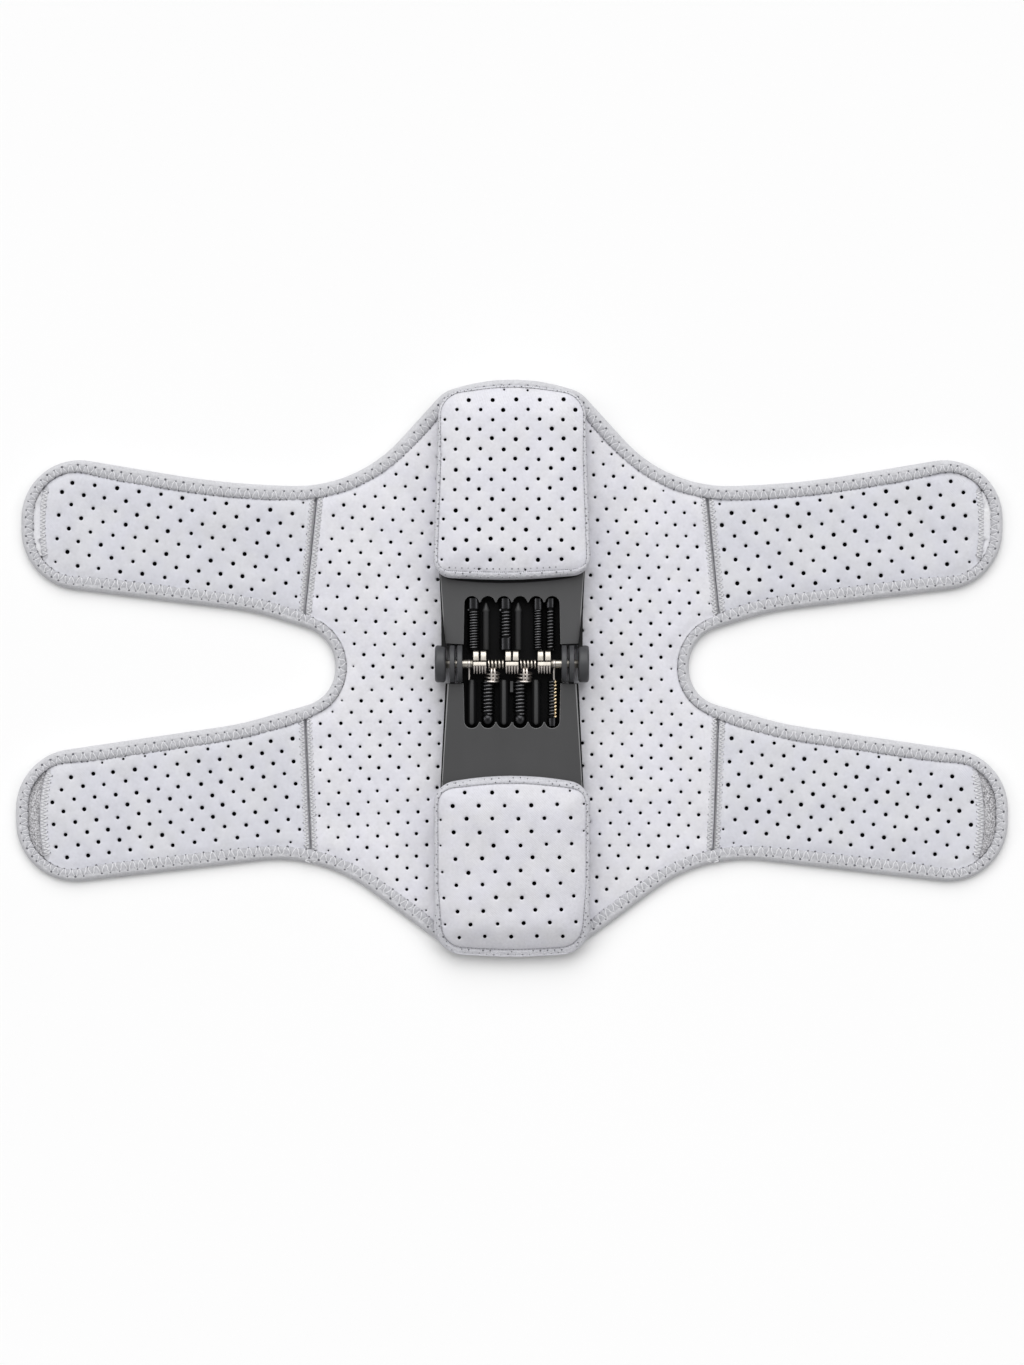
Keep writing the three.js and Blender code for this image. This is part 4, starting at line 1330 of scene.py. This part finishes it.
def make_pin():
    """The pin: plated and thick at its ends, slim under the coils and near-black there as painted shade
    between their rings.
    """
    build = Build()
    waist_end = PIN_WAIST + 0.2
    step = [(PIN_WAIST, 1.4), (PIN_WAIST, 2.0), (waist_end, PIN_RADIUS)]
    ends = [(PIN_HALF - 0.3, PIN_RADIUS), (PIN_HALF, PIN_RADIUS - 0.3), (PIN_HALF, 0.0)]
    for side in (-1, 1):
        round_pin(build, [*step, *ends], 0, 36, axis=(side, 0, 0))
    # The waist is near-black: painted shade between the coil's rings
    round_pin(build, [(-waist_end, WAIST_RADIUS), (waist_end, WAIST_RADIUS)], 0, 24, 1)
    build.piece("turned_pin", [SATIN_NICKEL, SHADE_BLACK_PLASTIC], "nickel", "hinge_pin")


# Plated saddles: profiles in distances from the pin along y and z
PRONG_PROFILE = [
    (1.5, -2.0), (6.0, -2.0), (6.5, -1.0), (6.5, 2.4), (6.3, 3.1),
    (5.8, 3.6), (5.0, 3.95), (3.4, 4.2), (1.5, 4.3),
]
BAND_PROFILE = [(-1.1, 1.0), (1.05, 1.0), (1.05, 5.2), (0.0, 5.42), (-1.1, 5.55)]
TINE_PATH = [(-0.8, 4.8), (-1.8, 4.5), (-2.8, 4.1), (-3.7, 3.68), (-4.5, 3.22), (-4.9, 2.6)]
TINE_RADII = (0.64, 0.2)
TINE_PITCH = 1.36
SADDLES_X = (-16, 0, 16)
Hook = namedtuple("Hook", "x neck_x")
HOOKS = [Hook(-9.4, -10.2), Hook(6.6, 6.0)]
COILS_X = (-8, 8)
EYES_X = {"left": -21.3, "right": 20.9}
PRONG_GAP = 0.42
RING_PITCH = 1.78
RING_LEAN = 0.08
SLEEVE_HALF = 3.3
STEM_PATH = [(0.7, -2.0, -0.4), (0.75, -3.0, 0.4), (0.85, -4.2, 0.6), (0.85, -6.0, 0.2), (0.7, -8.8, -1.0)]
WIRE_PATH = [(-1.6, -1.0), (-4.2, -1.6), (-8.6, -3.4)]
RING_HALF = [(0.62, 1.4), (0.6, 2.1), (0.42, 2.45)]
RING_PROFILE = [(-along, radius) for along, radius in RING_HALF] + [(0.0, 2.55), *RING_HALF[::-1]]


def on_pin(profile):
    return [(HINGE_Y + y, HINGE_Z + z) for y, z in profile]


def make_yokes():
    """The plated parts on the pin: saddles with two prongs and five tines, hooks below, coils and eyes."""
    for k, x in enumerate(SADDLES_X):
        build = Build()
        core = [(-SLEEVE_HALF, 1.4), (-SLEEVE_HALF, 3.7), (SLEEVE_HALF, 3.7), (SLEEVE_HALF, 1.4)]
        # The core is near-black: painted shade in the slots between the prongs and between the tines
        round_pin(build, core, x, 40, 1)
        radii = np.linspace(*TINE_RADII, len(TINE_PATH))
        for tine in range(-2, 3):
            build.tube([(x + tine * TINE_PITCH, y, z) for y, z in on_pin(TINE_PATH)], radii, 10)
        build.piece(f"sleeve_{k + 1}", [LIT_NICKEL, SHADE_BLACK_PLASTIC], "nickel", f"yoke_upper_{k + 1}")
        build = Build()
        slab(build, on_pin(BAND_PROFILE), x - SLEEVE_HALF, x + SLEEVE_HALF)
        for side in (-1, 1):
            near, far = sorted((x + side * PRONG_GAP, x + side * SLEEVE_HALF))
            slab(build, on_pin(PRONG_PROFILE), near, far)
        softened(build.piece(f"saddle_{k + 1}", [SATIN_NICKEL], "nickel"), 0.35, 3)
    for k, (x, neck_x) in enumerate(HOOKS):
        hook = Build()
        for side in (-1, 1):
            hook.tube([(x + side * dx, HINGE_Y + y, HINGE_Z + z) for dx, y, z in STEM_PATH], 0.62, 10)
        top_place = (x, HINGE_Y - 3.8, HINGE_Z - 3.4)
        hook.tube(helix(top_place, (neck_x, HINGE_Y - 8.9, ROD_Z), 3.3, 2.9, 3.5), 0.5, 8)
        hook.piece(f"hook_{k + 1}", [LIT_NICKEL], "nickel", f"yoke_lower_{k + 1}")
    for k, x in enumerate(COILS_X):
        coil = Build()
        for turn in range(-2, 3):
            round_pin(coil, RING_PROFILE, x + turn * RING_PITCH, 32, axis=(1, RING_LEAN, 0))
        coil.piece(f"pin_wire_{k + 1}", [NICKEL], "nickel", f"pin_coil_{k + 1}")
    for word, x in EYES_X.items():
        build = Build()
        round_pin(build, [(-0.7, 2.0), (-0.6, 2.2), (0.6, 2.2), (0.7, 2.0)], x, 32)
        build.tube([(x, y, z) for y, z in on_pin(WIRE_PATH)], 0.6, 12)
        build.piece(f"prong_{word}", [LIT_NICKEL], "nickel", f"eye_lower_{word}")


# Stage, light and camera
def soft_sky():
    """A studio tent: bright panels round the top and sides, weaker ones below, dim at the horizon and dark
    straight above, where the camera is."""
    world = bpy.context.scene.world or bpy.data.worlds.new("studio_tent")
    bpy.context.scene.world = world
    world.use_nodes = True
    sky = Nodes(world.node_tree)
    direction = sky.node("ShaderNodeTexCoord", {}, {}, "Generated")
    height = sky.node("ShaderNodeSeparateXYZ", {}, {0: direction}, "Z")
    ahead = sky.node("ShaderNodeSeparateXYZ", {}, {0: direction}, "Y")
    panels = height.between(0.25, 0.6) * (1 - 0.88 * height.between(0.82, 0.96))
    panels = panels * (0.6 + 0.4 * ahead.between(-0.6, 0.1))
    background = sky.tree.nodes["Background"]
    sky.tree.links.new((SKY_LOW + SKY_RISE * panels).socket, background.inputs["Strength"])
    background.inputs["Color"].default_value = (1, 1, 1, 1)


def make_stage():
    dark, light = (0.9, 0.9, 0.9, 1), (0.915, 0.915, 0.915, 1)
    paper = flecked("pale_floor", (400, 2), dark, light, (0.88, 0.94), **MATT)
    mesh = bpy.data.meshes.new("floor")
    far = FLOOR_HALF
    mesh.from_pydata([(-far, -far, 0), (far, -far, 0), (far, far, 0), (-far, far, 0)], [], [(0, 1, 2, 3)])
    mesh.materials.append(paper)
    floor = linked("floor", mesh)
    soft_sky()

    for name, energy, spread, way in LAMPS:
        lamp = bpy.data.lights.new(name, "SUN")
        lamp.energy = energy
        lamp.angle = math.radians(spread)
        linked(name, lamp).rotation_euler = Vector(way).to_track_quat("-Z", "Y").to_euler()

    camera = bpy.data.cameras.new("camera")
    camera.sensor_fit = "HORIZONTAL"
    camera.sensor_width = SENSOR_WIDTH
    camera.lens = SENSOR_WIDTH * CAMERA_HEIGHT / PHOTO_WIDTH
    camera.clip_end = 100
    eye = linked("camera", camera)
    eye.location = Vector((0, CAMERA_Y, CAMERA_HEIGHT)) * MM
    bpy.context.scene.camera = eye
    bpy.context.scene.view_settings.view_transform = "Standard"


make_stage()
make_wrap()
make_binding()
for pad in PADS:
    make_pad(pad)
for leaf in LEAVES:
    make_leaf(leaf)
    make_rods(leaf)
make_pin()
make_yokes()
